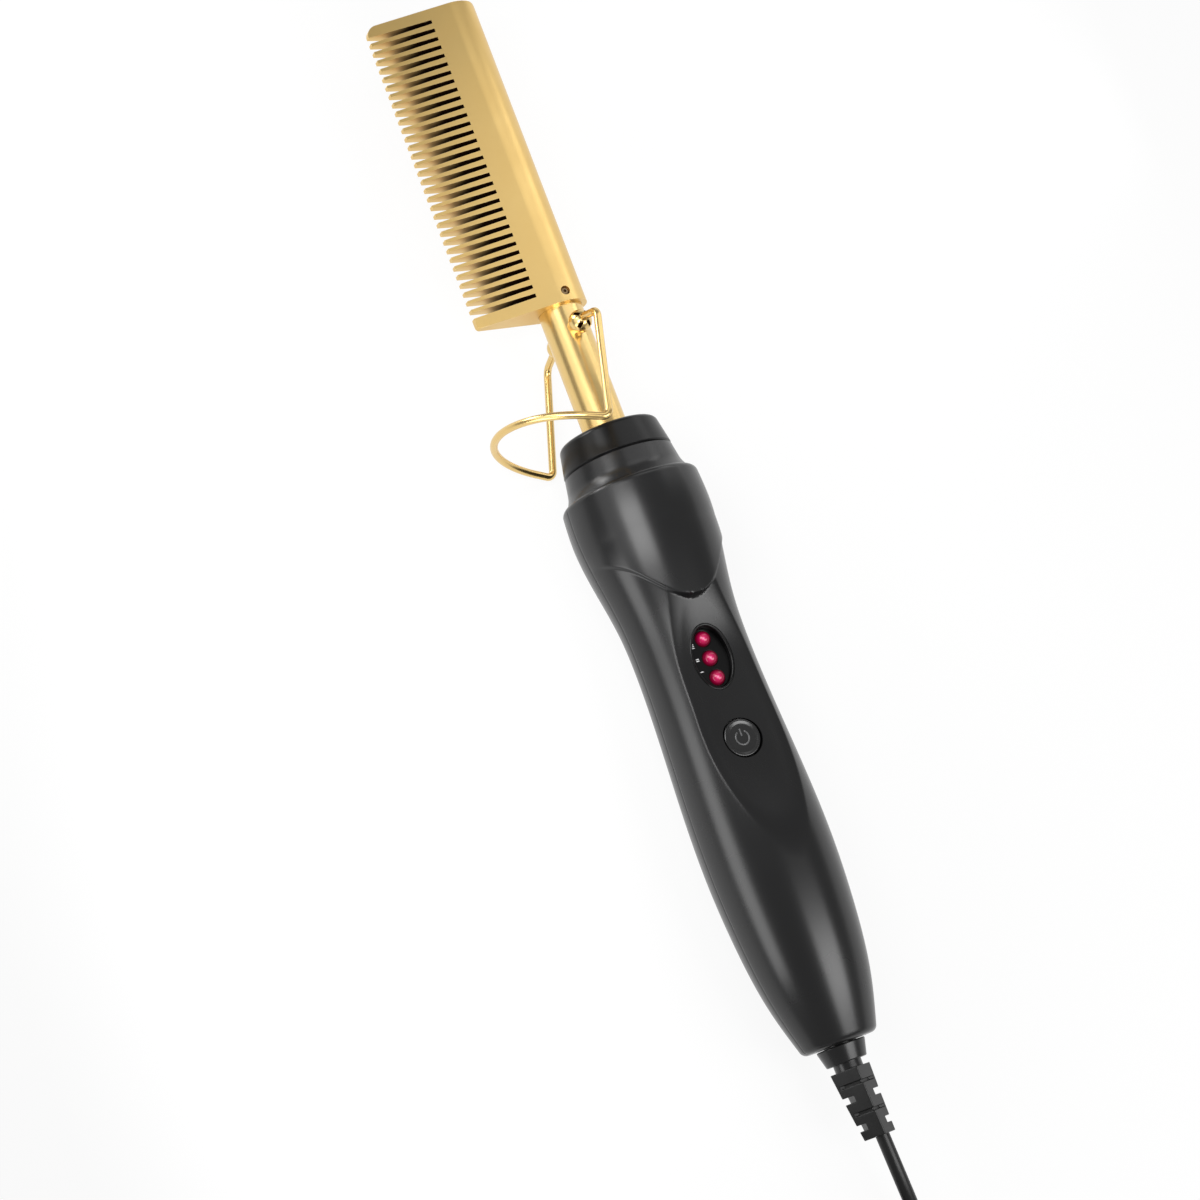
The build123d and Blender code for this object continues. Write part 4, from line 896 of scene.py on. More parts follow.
# ------------------------------------------------------------------ what the sub-assemblies share
@dataclass
class Bench:
    """Frame, finishes and node trees that every sub-assembly uses.

    Attributes:
        nodes: the frame's solids by name.
        place: turns tool millimetres into table metres.
        kit: the shader node groups.
        shop: the geometry node trees.
        materials: the finishes that are made already.
    """

    nodes: dict[str, bpy.types.Object]
    place: Matrix
    kit: GroupKit = field(default_factory=GroupKit)
    shop: Workshop = field(default_factory=Workshop)
    materials: dict[Finish | LampGlow, bpy.types.Material] = field(default_factory=dict)

    def material(self, finish: Finish | LampGlow) -> bpy.types.Material:
        """Material of a finish, made the first time that it is asked for."""
        if finish not in self.materials:
            self.materials[finish] = finish.build(self.kit)
        return self.materials[finish]

    def fit(
        self, piece: bpy.types.Object, body: Body, finish: Finish | LampGlow,
        *stands_for: str, sharp: float = 35.0,
    ) -> bpy.types.Object:
        """Shades a piece, dresses it and lets it ride on its body.

        Args:
            piece: the finished mesh.
            body: the body that it moves with.
            finish: its look.
            stands_for: the frame's solids that it replaces.
            sharp: smallest angle in degrees of an edge that stays crisp.

        Returns:
            The same piece.
        """
        mesh = piece.data
        mesh.shade_smooth()
        mesh.set_sharp_from_angle(angle=math.radians(sharp))
        even = piece.modifiers.new("even_shading", "WEIGHTED_NORMAL")
        even.keep_sharp = True
        mesh = applied(piece).data
        mesh.materials.clear()
        mesh.materials.append(self.material(finish))
        mesh.polygons.foreach_set("material_index", [0] * len(mesh.polygons))
        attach(piece, body.value)
        if stands_for:
            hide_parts(*stands_for)
        LOG.info("built %s: %d faces", piece.name, len(mesh.polygons))
        return piece

    def dress(self, finish: Finish, names: Sequence[str]) -> None:
        """Gives solids of the frame a material."""
        for name in names:
            slots = self.nodes[name].data.materials
            slots.clear()
            slots.append(self.material(finish))


# ------------------------------------------------------------------ comb head
@dataclass
class CombHead:
    """Wedge-shaped comb head with a row of slots, and its set screw.

    Attributes give the sizes in tool millimetres; those of two numbers:
        screw_socket: half width and depth of the screw's hexagon.
    """

    start: float = 188.4
    length: float = 81.9
    spine: float = 6.95
    tip_y: float = 22.6
    tip_half: float = 0.8
    spine_corner: float = 2.6
    tooth_corner: float = 2.5
    rear_corner: float = 0.9
    slots: int = 33
    pitch: float = 2.34
    slot_width: float = 0.95
    slot_mouth: float = 1.6
    slot_root: float = 7.1
    slot_margin: float = 3.45
    socket: float = 5.6
    socket_depth: float = 8.0
    bore: float = 4.2
    bore_depth: float = 68.0
    screw_x: float = 2.6
    screw_radius: float = 1.15
    screw_top: float = 6.45
    screw_length: float = 2.6
    screw_rim: float = 0.78
    screw_socket: Pair = (0.42, 0.7)
    edge_round: float = 0.16
    cutter_reach: float = 9.0
    end_margin: float = 1.5
    root_margin: float = 0.3

    def section(self) -> np.ndarray:
        """Closed outline (y, z) of the wedge with its round spine."""
        lean = math.atan2(self.tip_half, self.tip_y)
        touch = lean + math.acos(self.spine / math.hypot(self.tip_y, self.tip_half))
        turn = np.linspace(touch, 2 * math.pi - touch, 65)
        back = np.column_stack([self.spine * np.cos(turn), self.spine * np.sin(turn)])
        return np.vstack([[(self.tip_y, self.tip_half)], back, [(self.tip_y, -self.tip_half)]])

    def corner_cutter(
        self, x: float, y: float, radius: float, side: tuple[int, int]
    ) -> bpy.types.Object:
        """What a rounded corner of the outline takes away; side points from the head to the corner."""
        centre = np.array([x - side[0] * radius, y - side[1] * radius])
        turn = np.linspace(0, math.pi / 2, 9)
        spokes = np.column_stack([side[0] * np.cos(turn), side[1] * np.sin(turn)])
        arc = centre + (radius + 0.01) * spokes
        far_x, far_y = x + side[0] * 3, y + side[1] * 3
        far = [(centre[0], far_y), (far_x, far_y), (far_x, centre[1])]
        return prism("corner_cut", np.vstack([arc, far]), -self.cutter_reach, self.cutter_reach, PLAIN)

    def slot_cutters(self, bench: Bench) -> bpy.types.Object:
        """Row of flared blades that cut the slots."""
        root, mouth = self.slot_width / 2, self.slot_mouth / 2
        low, high = self.slot_root, self.tip_y + 1
        outline = [(-root, low), (root, low), (mouth, high), (-mouth, high)]
        blade = prism("blade", outline, -self.cutter_reach, self.cutter_reach, PLAIN)
        first = self.start + self.length - self.slot_margin
        return bench.shop.grow(
            bench.shop.row(), blade, "slot_cut", PLAIN,
            count=self.slots, start=(first, 0.0, 0.0), step=(-self.pitch, 0.0, 0.0),
            finish=bench.material(GOLD_HEAD),
        )

    def mark_depth(self, mesh: bpy.types.Mesh) -> None:
        """Writes how deep in its slot each wall's corner lies, from 0 at the mouth to 1 at the root, for
        the painted shade in the slots.
        """
        depth = mesh.attributes.new("slot_depth", "FLOAT", "CORNER")
        first, last = self.start + self.end_margin, self.start + self.length - self.end_margin
        low, high = self.slot_root - self.root_margin, self.slot_root + self.root_margin
        for face in mesh.polygons:
            in_slot = low < face.center.y and first < face.center.x < last
            if not in_slot or (abs(face.normal.x) < 0.8 and face.center.y > high):
                continue
            for corner in face.loop_indices:
                y = mesh.vertices[mesh.loops[corner].vertex_index].co.y
                depth.data[corner].value = (self.tip_y - y) / (self.tip_y - self.slot_root)

    def build(self, bench: Bench) -> None:
        """Builds the head and its screw."""
        end = self.start + self.length
        ring = self.section()
        rows = [np.column_stack([np.full(len(ring), x), ring]) for x in (self.start, end)]
        head = woven("comb_head_formed", np.array(rows), PLAIN, ring=False)
        corners = [
            self.corner_cutter(end, -self.spine, self.spine_corner, (1, -1)),
            self.corner_cutter(end, self.tip_y, self.tooth_corner, (1, 1)),
            self.corner_cutter(self.start, self.tip_y, self.rear_corner, (-1, 1)),
        ]
        inner, depth = self.start - 1, self.start + self.socket_depth
        far = self.start + self.bore_depth
        outline = [
            (inner, 0), (inner, self.socket), (depth, self.socket),
            (depth, self.bore), (far, self.bore), (far, 0),
        ]
        bore = turned("bore_cut", outline, PLAIN)
        opening = oval(self.screw_radius, self.screw_radius, self.start + self.screw_x, 0, 32)
        screw_hole = prism("screw_cut", opening, 0, self.cutter_reach, PLAIN)
        cut(head, corners + [bore, screw_hole, self.slot_cutters(bench)])
        bevelled(head, self.edge_round, 3, 50.0, 1.0)
        self.mark_depth(head.data)
        head.data.transform(bench.place)
        bench.fit(head, Body.TOOL, GOLD_HEAD, "comb_head")
        bench.fit(self.set_screw(bench.place), Body.TOOL, DARK_SCREW, "head_set_screw")

    def set_screw(self, place: Matrix) -> bpy.types.Object:
        """Grub screw with a hexagon socket, sunk in its hole."""
        x, foot = self.start + self.screw_x, self.spine - self.screw_length
        top, radius = self.screw_top, self.screw_radius
        outline = [
            (foot, 0, 0), (foot, radius, 0), (top - 0.3, radius, 0),
            (top, self.screw_rim, 0.1), (top, 0, 0),
        ]
        screw = turned("set_screw", rounded(outline), upright(x), 48)
        half, depth = self.screw_socket
        turn = np.radians(np.arange(0, 360, 60))
        hexagon = [(x + half * math.cos(a), half * math.sin(a)) for a in turn]
        cut(screw, [prism("socket_cut", hexagon, top - depth, top + 1, PLAIN)])
        screw.data.transform(place)
        return screw


# ------------------------------------------------------------------ shaft and stand
@dataclass
class ShaftAndStand:
    """Metal shaft, the two staked lugs on it and the bent wire stand that turns in them.

    Attributes give the sizes in tool millimetres and angles in degrees; those of several numbers:
        flange: radius and thickness of the shaft's rear flange.
        access: place and radius of the hole over the head's set screw.
        wire_head: radius and length of the wire's upset ends.
        top, foot, apex: corners of the stand's one side and the top of its hoop, from the pivot.
        bends: radii of the leg's bends and of its bend into the hoop.
        stake_tilt: first and last tilt of a stake mark from the lug's axis.
        stake_shade: depth under the ball where a mark's painted shade begins, and over which it grows
            full.
        stake_clear: distance from the shaft's surface and from the lug's axis that stays unshaded.
    """

    rear: float = 126.6
    front: float = 196.4
    radius: float = 5.55
    bore: float = 4.75
    flange: Pair = (6.8, 1.2)
    access: Pair = (191.0, 1.15)
    pivot: float = 182.0
    pivot_hole: float = 1.0
    wire: float = 0.95
    wire_end: float = 3.55
    wire_head: Pair = (1.35, 0.8)
    knee: float = 11.7
    top: Point = (-1.6, 0.0, 18.9)
    foot: Point = (-28.4, 7.85, 20.5)
    apex: Point = (-20.75, 27.35, 0.0)
    bends: Pair = (2.5, 1.6)
    hoop_start: float = 0.06
    lug: float = 2.85
    lug_height: float = 8.35
    lug_foot: float = 2.2
    lug_base: float = 4.6
    stake_turns: tuple[float, ...] = (40.0, 140.0, 215.0, 318.0)
    stake_radius: float = 0.5
    stake_stretch: float = 1.25
    stake_tilt: Pair = (24.0, 64.0)
    stake_shade: Pair = (0.05, 0.2)
    stake_clear: Pair = (0.4, 1.1)

    def build(self, bench: Bench) -> None:
        """Builds the shaft, the lugs and the stand."""
        wide, thick = self.flange
        outline = [
            (self.rear, self.bore), (self.rear, wide), (self.rear + thick, wide),
            (self.rear + thick, self.radius), (self.front, self.radius), (self.front, self.bore),
        ]
        shaft = turned("shaft", outline, PLAIN, 128)
        hole = prism("pivot_cut", oval(self.pivot_hole, self.pivot_hole, self.pivot, 0, 32), -9, 9, PLAIN)
        x, opening = self.access
        access = prism("access_cut", oval(opening, opening, x, 0, 32), 0, 9, PLAIN)
        cut(shaft, [hole, access])
        shaft.data.transform(bench.place)
        bench.fit(shaft, Body.TOOL, GOLD_STEEL, "shaft_tube")
        for side, name in ((1, "front"), (-1, "back")):
            lug = self.lug_form(side)
            lug.data.transform(bench.place)
            lug.name = f"staked_lug_{name}"
            bench.fit(lug, Body.TOOL, GOLD_LUG, f"stand_lug_{name}")
        bench.fit(self.stand(bench), Body.STAND, GOLD_STEEL, "stand_wire", sharp=60.0)

    def lug_form(self, side: int) -> bpy.types.Object:
        """Round lug with the wire's hole and four stake marks; side is 1 for the front."""
        low, middle, hole = self.lug_base, self.lug_height, self.pivot_hole
        turn = np.linspace(-0.42 * math.pi, math.pi / 2, 25)
        ball = np.column_stack([middle + self.lug * np.sin(turn), self.lug * np.cos(turn)])
        neck = self.lug_foot * 0.98
        outline = [(low, hole), (low, self.lug_foot), *ball[ball[:, 1] > neck][:-1]]
        outline += [tuple(point) for point in ball if point[1] <= neck and point[0] > middle]
        outline = [point for point in outline if point[1] >= hole]
        outline.append((middle + math.sqrt(self.lug**2 - hole**2), hole))
        mirror = Matrix.Scale(side, 4, (0, 0, 1))
        ball_piece = turned("lug", outline, mirror @ upright(self.pivot), 48)
        marks = [self.stake(math.radians(angle), mirror) for angle in self.stake_turns]
        rear, front, wide = self.pivot - 12, self.pivot + 12, self.radius
        clear = turned("shaft_cut", [(rear, 0), (rear, wide), (front, wide), (front, 0)], PLAIN)
        lug = bevelled(cut(ball_piece, marks + [clear]), 0.1, 2, 45.0, 1.0)
        self.mark_stakes(lug.data, side)
        return lug

    def mark_stakes(self, mesh: bpy.types.Mesh, side: int) -> None:
        """Writes how deep in a stake mark each corner lies, from 0 on the ball to 1 well inside, for the
        painted shade in the marks.
        """
        depth = mesh.attributes.new("stake_depth", "FLOAT", "CORNER")
        centre = Vector((self.pivot, 0, side * self.lug_height))
        skin, fade = self.stake_shade
        off_shaft, off_axis = self.stake_clear
        for face in mesh.polygons:
            x, y, z = face.center
            if math.hypot(y, z) < self.radius + off_shaft or math.hypot(x - self.pivot, y) < off_axis:
                continue
            for corner in face.loop_indices:
                point = mesh.vertices[mesh.loops[corner].vertex_index].co
                share = (self.lug - skin - (point - centre).length) / fade
                depth.data[corner].value = min(1.0, max(0.0, share))

    def stake(self, angle: float, mirror: Matrix) -> bpy.types.Object:
        """Groove along the ball from near the wire down one side."""
        rows = []
        aside = np.array([math.cos(angle), math.sin(angle), 0.0])
        for tilt in np.radians(np.linspace(*self.stake_tilt, 9)):
            out = math.sin(tilt) * aside + (0.0, 0.0, math.cos(tilt))
            along = math.cos(tilt) * aside - (0.0, 0.0, math.sin(tilt))
            across = np.cross(out, along)
            centre = np.array([self.pivot, 0, self.lug_height]) + out * (self.lug + 0.06)
            turn = np.linspace(0, 2 * math.pi, 12, endpoint=False)[:, None]
            ring = self.stake_stretch * out * np.cos(turn) + across * np.sin(turn)
            rows.append(centre + self.stake_radius * ring)
        return woven("stake_cut", np.array(rows), mirror, ring=False)

    def route(self) -> np.ndarray:
        """Centreline of the whole stand, from inside the shaft over the hoop and back."""
        pivot = np.array([self.pivot, 0.0, 0.0])
        top, foot, apex = (pivot + np.array(point) for point in (self.top, self.foot, self.apex))
        other = foot * (1, 1, -1)
        middle = (foot + other) / 2
        rise = np.linalg.norm(apex - middle)
        half = np.linalg.norm(foot - middle)
        radius = (rise**2 + half**2) / (2 * rise)
        up = (apex - middle) / rise
        centre = apex - up * radius
        reach = math.atan2(half, rise - radius)
        turn = np.linspace(reach, -reach, 200)[:, None]
        hoop = centre + radius * (up * np.cos(turn) + np.array([0, 0, 1.0]) * np.sin(turn))
        skip = round(self.hoop_start * len(hoop))
        hoop = hoop[skip : len(hoop) - skip]
        start = hoop[0]
        heading = (hoop[1] - hoop[0]) / np.linalg.norm(hoop[1] - hoop[0])
        corner = start - heading * np.linalg.norm(start - foot)
        leg = rounded(
            [
                (*(pivot + (0, 0, self.wire_end)), 0),
                (*(pivot + (0, 0, self.knee)), self.bends[0]),
                (*top, self.bends[0]),
                (*corner, self.bends[1]),
                (*start, 0),
            ],
            closed=False,
            steps=12,
        )
        leg = np.array(leg)[:-1]
        return np.vstack([leg, hoop, (leg * (1, 1, -1))[::-1]])

    def stand(self, bench: Bench) -> bpy.types.Object:
        """Wire stand with its upset heads inside the shaft."""
        steel = bench.material(GOLD_STEEL)
        wire = bench.shop.piped("stand_path", self.route(), self.wire, bench.place, steel, 24)
        radius, length = self.wire_head
        low, high = self.wire_end + 0.05, self.wire_end + length
        outline = rounded([(low, 0, 0), (low, radius, 0.2), (high, radius, 0.2), (high, 0, 0)])
        sides = [bench.place @ Matrix.Scale(side, 4, (0, 0, 1)) @ upright(self.pivot) for side in (1, -1)]
        heads = [turned("wire_head", outline, side, 24) for side in sides]
        return merged("stand_bow", [wire, *heads])


# ------------------------------------------------------------------ neck and cap
@dataclass
class Nose:
    """Flared collar in front of the handle and the heat-proof cap on it.

    Attributes:
        flare: the collar's outer line.
        inside: the rest of its half section, with the radius of each corner.
        cap: the cap's half section, with the radius of each corner.
    """

    flare: FairCurve = FairCurve(
        ((140.6, 15.7), (141.7, 15.05), (143.0, 14.5), (144.3, 14.22), (145.9, 13.95), (147.45, 13.7))
    )
    inside: tuple[Point, ...] = (
        (147.8, 13.35, 0), (147.8, 10.5, 0), (151.8, 10.5, 0.3), (151.8, 8.0, 0),
        (130.2, 8.0, 0), (130.2, 10.8, 0), (136.4, 10.8, 0), (136.4, 13.6, 0.3),
        (138.6, 13.6, 0.2), (138.6, 11.8, 0), (140.6, 11.8, 0),
    )
    cap: tuple[Point, ...] = (
        (147.8, 10.5, 0), (147.8, 13.35, 0), (148.15, 13.7, 0.12), (155.4, 12.3, 1.5),
        (155.4, 5.75, 0.25), (152.0, 5.75, 0), (152.0, 10.5, 0),
    )

    def build(self, bench: Bench) -> None:
        """Builds both pieces."""
        outline = [*self.flare.samples(12), *rounded(self.inside)]
        collar = turned("flared_collar", outline, bench.place, 128)
        bench.fit(collar, Body.TOOL, CHARCOAL, "neck_collar")
        cap = turned("heat_cap", rounded(self.cap, steps=10), bench.place, 128)
        bench.fit(cap, Body.TOOL, GLOSS_BLACK, "nose_cap")


# ------------------------------------------------------------------ handle
@dataclass
class Handle:
    """Two-shell handle: a turned form with a thumb scoop and a raised tongue.

    Attributes give the sizes in tool millimetres; those of several numbers:
        row_spans: first place, last place and step of the rows of points along the handle.
        window: place and half sizes of the window's opening.
        button: place and radius of the button's opening.
        seat_margins: how far the flat seats reach round the window's and the button's openings.
        screw: half section of a screw, with the radius of each corner.
    """

    length: float = 140.6
    profile: FairCurve = FairCurve(
        (
            (0.0, 9.1), (12.0, 12.45), (30.0, 14.95), (46.0, 15.75), (68.0, 15.2),
            (96.5, 14.1), (108.0, 14.55), (131.5, 17.5), (140.6, 17.1),
        )
    )
    floor: FairCurve = FairCurve(
        (
            (46.0, 16.35), (60.0, 12.3), (73.6, 9.6), (85.0, 9.4), (94.0, 9.6), (108.5, 12.9),
            (131.5, 20.5),
        ),
        -0.25,
        0.35,
    )
    crest: FairCurve = FairCurve(((104.5, 14.85), (116.0, 16.35), (127.5, 17.25), (135.0, 16.8)))
    hollow_radius: float = 28.0
    wall: float = 2.0
    rear_wall: float = 2.5
    spindle_hole: float = 4.05
    spigot_hole: float = 11.8
    front_rim: float = 15.2
    row_spans: tuple[Point, ...] = ((1.6, 40.0, 1.1), (40.4, 100.0, 0.6), (100.2, 126.0, 0.28))
    shoulder_round: float = 1.5
    rear_round: float = 1.2
    tongue_tip: float = 108.5
    tongue_spread: float = 11.7
    tongue_reach: float = 9.8
    tongue_lip: float = 0.7
    tongue_fade: float = 0.35
    rim_round: float = 1.6
    seam_depth: float = 0.08
    seam_width: float = 0.35
    window: Point = (94.0, 8.13, 5.33)
    button: Pair = (73.6, 4.95)
    seat_height: float = 7.7
    seat_margins: Pair = (1.6, 2.2)
    screw_places: Pair = (22.0, 58.0)
    well_radius: float = 2.5
    screw: tuple[Point, ...] = (
        (-8.8, 0, 0), (-8.8, 2.4, 0.7), (-7.0, 2.4, 0), (-7.0, 1.2, 0), (6.0, 1.2, 0.3), (6.0, 0, 0),
    )

    def scoop(self, x: np.ndarray, turn: np.ndarray, inset: float) -> np.ndarray:
        """Radius at which the thumb scoop cuts a ray from the axis.

        Args:
            x: places along the tool.
            turn: angles from the tool's Z towards its Y.
            inset: how far inside the outer surface.

        Returns:
            The radius, UNMET where the scoop isn't met.
        """
        first_x, lead_in = self.floor.points[0][0], 6.0
        floor = self.floor.height(x) - self.floor.start * np.maximum(first_x - x, 0)
        centre = floor - inset + self.hollow_radius
        inside = (x >= first_x - lead_in) & (np.cos(turn) > 0.05)
        along = centre * np.cos(turn)
        under = along**2 - centre**2 + self.hollow_radius**2
        met = inside & (under > 0)
        return np.where(met, along - np.sqrt(np.maximum(under, 0)), UNMET)

    def scoop_top(self, x: float, y: float) -> float:
        """Height of the scoop's surface over a place."""
        floor = float(self.floor.height(np.array(x)))
        return floor + self.hollow_radius - math.sqrt(self.hollow_radius**2 - y**2)

    def in_tongue(self, x: np.ndarray, y: np.ndarray) -> np.ndarray:
        """Distance along the tool past the tongue's edge, positive on the tongue."""
        slope = self.tongue_spread / self.tongue_reach
        far_x = self.floor.points[-1][0]
        far_y = slope * (far_x - self.tongue_tip)
        turn = (self.tongue_spread, self.tongue_tip + self.tongue_reach)
        half = FairCurve(((0.0, self.tongue_tip), turn, (far_y, far_x)), 0.0, 1.0 / slope)
        return x - half.height(np.abs(y))

    def radius(self, x: np.ndarray, turn: np.ndarray, inset: float = 0.0) -> np.ndarray:
        """Outer radius of the handle with its scoop and tongue.

        Args:
            x: places along the tool.
            turn: angles from the tool's Z towards its Y.
            inset: how far inside the outer surface.

        Returns:
            The radius at each place.
        """
        round_form = self.profile.height(x) - inset
        scoop = self.scoop(x, turn, inset)
        gap = np.clip(0.5 + (round_form - scoop) / (2 * self.rim_round), 0, 1)
        low = round_form * (1 - gap) + scoop * gap - self.rim_round * gap * (1 - gap)
        low = np.where(scoop >= UNMET, round_form, low)
        if inset:
            return low
        first, last = self.crest.points[0][0], self.crest.points[-1][0]
        raised = np.where((x > first) & (x < last), self.crest.height(x), 0.0)
        side = np.clip(np.cos(turn) / self.tongue_fade, 0, 1)
        high = round_form + np.maximum(raised - round_form, 0) * side
        step = np.clip(0.5 + self.in_tongue(x, round_form * np.sin(turn)) / self.tongue_lip, 0, 1)
        step = step**2 * (3 - 2 * step)
        return low * (1 - step) + high * step

    def stations(self) -> list[tuple[float, float]]:
        """Rows of the outer surface as (x, cut in radius), round corners and end faces included."""
        corner = self.rear_round
        rim = self.profile.points[0][1] - corner - 0.1
        rows = [(0.0, float(bore)) for bore in np.linspace(self.spindle_hole, rim, 6)]
        quarter = np.linspace(0, math.pi / 2, 9)
        rows += [(corner * (1 - math.cos(a)), -corner * (1 - math.sin(a))) for a in quarter]
        corner = self.shoulder_round
        for span in (*self.row_spans, (126.3, self.length - corner - 0.1, 0.9)):
            rows += [(float(x), 0.0) for x in np.arange(*span)]
        rows += [(self.length - corner * (1 - math.sin(a)), -corner * (1 - math.cos(a))) for a in quarter]
        rows += [(self.length, float(bore)) for bore in np.linspace(self.front_rim, self.spigot_hole, 5)]
        return rows

    def shell(self, name: str, front: bool, place: Matrix) -> bpy.types.Object:
        """Builds one half of the handle as a closed wall.

        Args:
            name: name of the piece.
            front: true for the half with the button.
            place: matrix of the tool's frame.

        Returns:
            The shell, before its openings are cut.
        """
        middle = 0.0 if front else math.pi
        turns = middle + np.radians(np.linspace(-90, 90, 165))
        rows = []
        for x, change in self.stations():
            along = np.full(turns.shape, x)
            if change > 0:
                radius = np.full(turns.shape, change)
            else:
                radius = self.radius(np.clip(along, 0.0, self.length), turns) + change
            seam = radius * np.minimum(np.abs(turns - turns[0]), np.abs(turns[-1] - turns))
            radius = radius - self.seam_depth * np.clip(1 - seam / self.seam_width, 0, 1)
            rows.append((along, radius))
        for x in list(np.arange(self.length - self.wall, self.rear_wall, -2.0)) + [self.rear_wall]:
            along = np.full(turns.shape, x)
            inner = self.radius(along, turns, self.wall)
            seat = np.maximum(inner, self.seat_height / np.cos(turns))
            inner = np.where(self.over_seat(along, turns, inner), seat, inner)
            rows.append((along, np.maximum(inner, self.spindle_hole + 0.4)))
        rows.append((np.full(turns.shape, self.rear_wall), np.full(turns.shape, self.spindle_hole)))
        along = np.array([row[0] for row in rows])
        radius = np.array([row[1] for row in rows])
        points = np.stack([along, radius * np.sin(turns), radius * np.cos(turns)], axis=-1)
        count, across = along.shape
        faces = []
        for i in range(count):
            here, there = i * across, (i + 1) % count * across
            faces += [(here + j, there + j, there + j + 1, here + j + 1) for j in range(across - 1)]
        faces.append(tuple(i * across for i in range(count)))
        faces.append(tuple(i * across + across - 1 for i in reversed(range(count))))
        return mesh_from(name, points.reshape(-1, 3), faces, place)

    def over_seat(self, x: np.ndarray, turn: np.ndarray, radius: np.ndarray) -> np.ndarray:
        """True over the flat seats of the window's and the button's flanges."""
        y = radius * np.sin(turn)
        window_x, half_x, half_y = self.window
        button_x, hole = self.button
        more, wider = self.seat_margins
        window = ((x - window_x) / (half_x + more)) ** 2 + (y / (half_y + more)) ** 2 < 1
        button = (x - button_x) ** 2 + y**2 < (hole + wider) ** 2
        return (np.cos(turn) > 0.5) & (window | button)

    def build(self, bench: Bench) -> None:
        """Builds both shells and the two screws that hold them."""
        place = bench.place
        front = self.shell("handle_front", True, place)
        window_x, half_x, half_y = self.window
        window = prism("window_cut", oval(half_x, half_y, window_x), 5, 17, place)
        button_x, radius = self.button
        hole = prism("button_cut", oval(radius, radius, button_x), 5, 17, place)
        cut(front, [window, hole])
        back = self.shell("handle_back", False, place)
        well = self.well_radius
        cut(back, [prism("well_cut", oval(well, well, x), -30, -6, place) for x in self.screw_places])
        bench.fit(front, Body.TOOL, CHARCOAL, "front_shell", sharp=38.0)
        bench.fit(back, Body.TOOL, CHARCOAL, "back_shell", sharp=38.0)
        bench.fit(self.screws(bench), Body.TOOL, SCREW_STEEL, "shell_screws")

    def screws(self, bench: Bench) -> bpy.types.Object:
        """Row of pan-head screws with cross recesses."""
        screw = turned("screw", rounded(self.screw), upright(0.0), 40)
        arms = [
            prism("cross_cut", [(-a, -b), (a, -b), (a, b), (-a, b)], -9.5, -7.8, PLAIN)
            for a, b in ((1.45, 0.3), (0.3, 1.45))
        ]
        bevelled(cut(screw, arms), 0.08, 2, 50.0, 1.0)
        first, last = self.screw_places
        return bench.shop.grow(
            bench.shop.row(), screw, "shell_screw_pair", bench.place, count=2,
            start=(first, 0.0, 0.0), step=(last - first, 0.0, 0.0), finish=bench.material(SCREW_STEEL),
        )


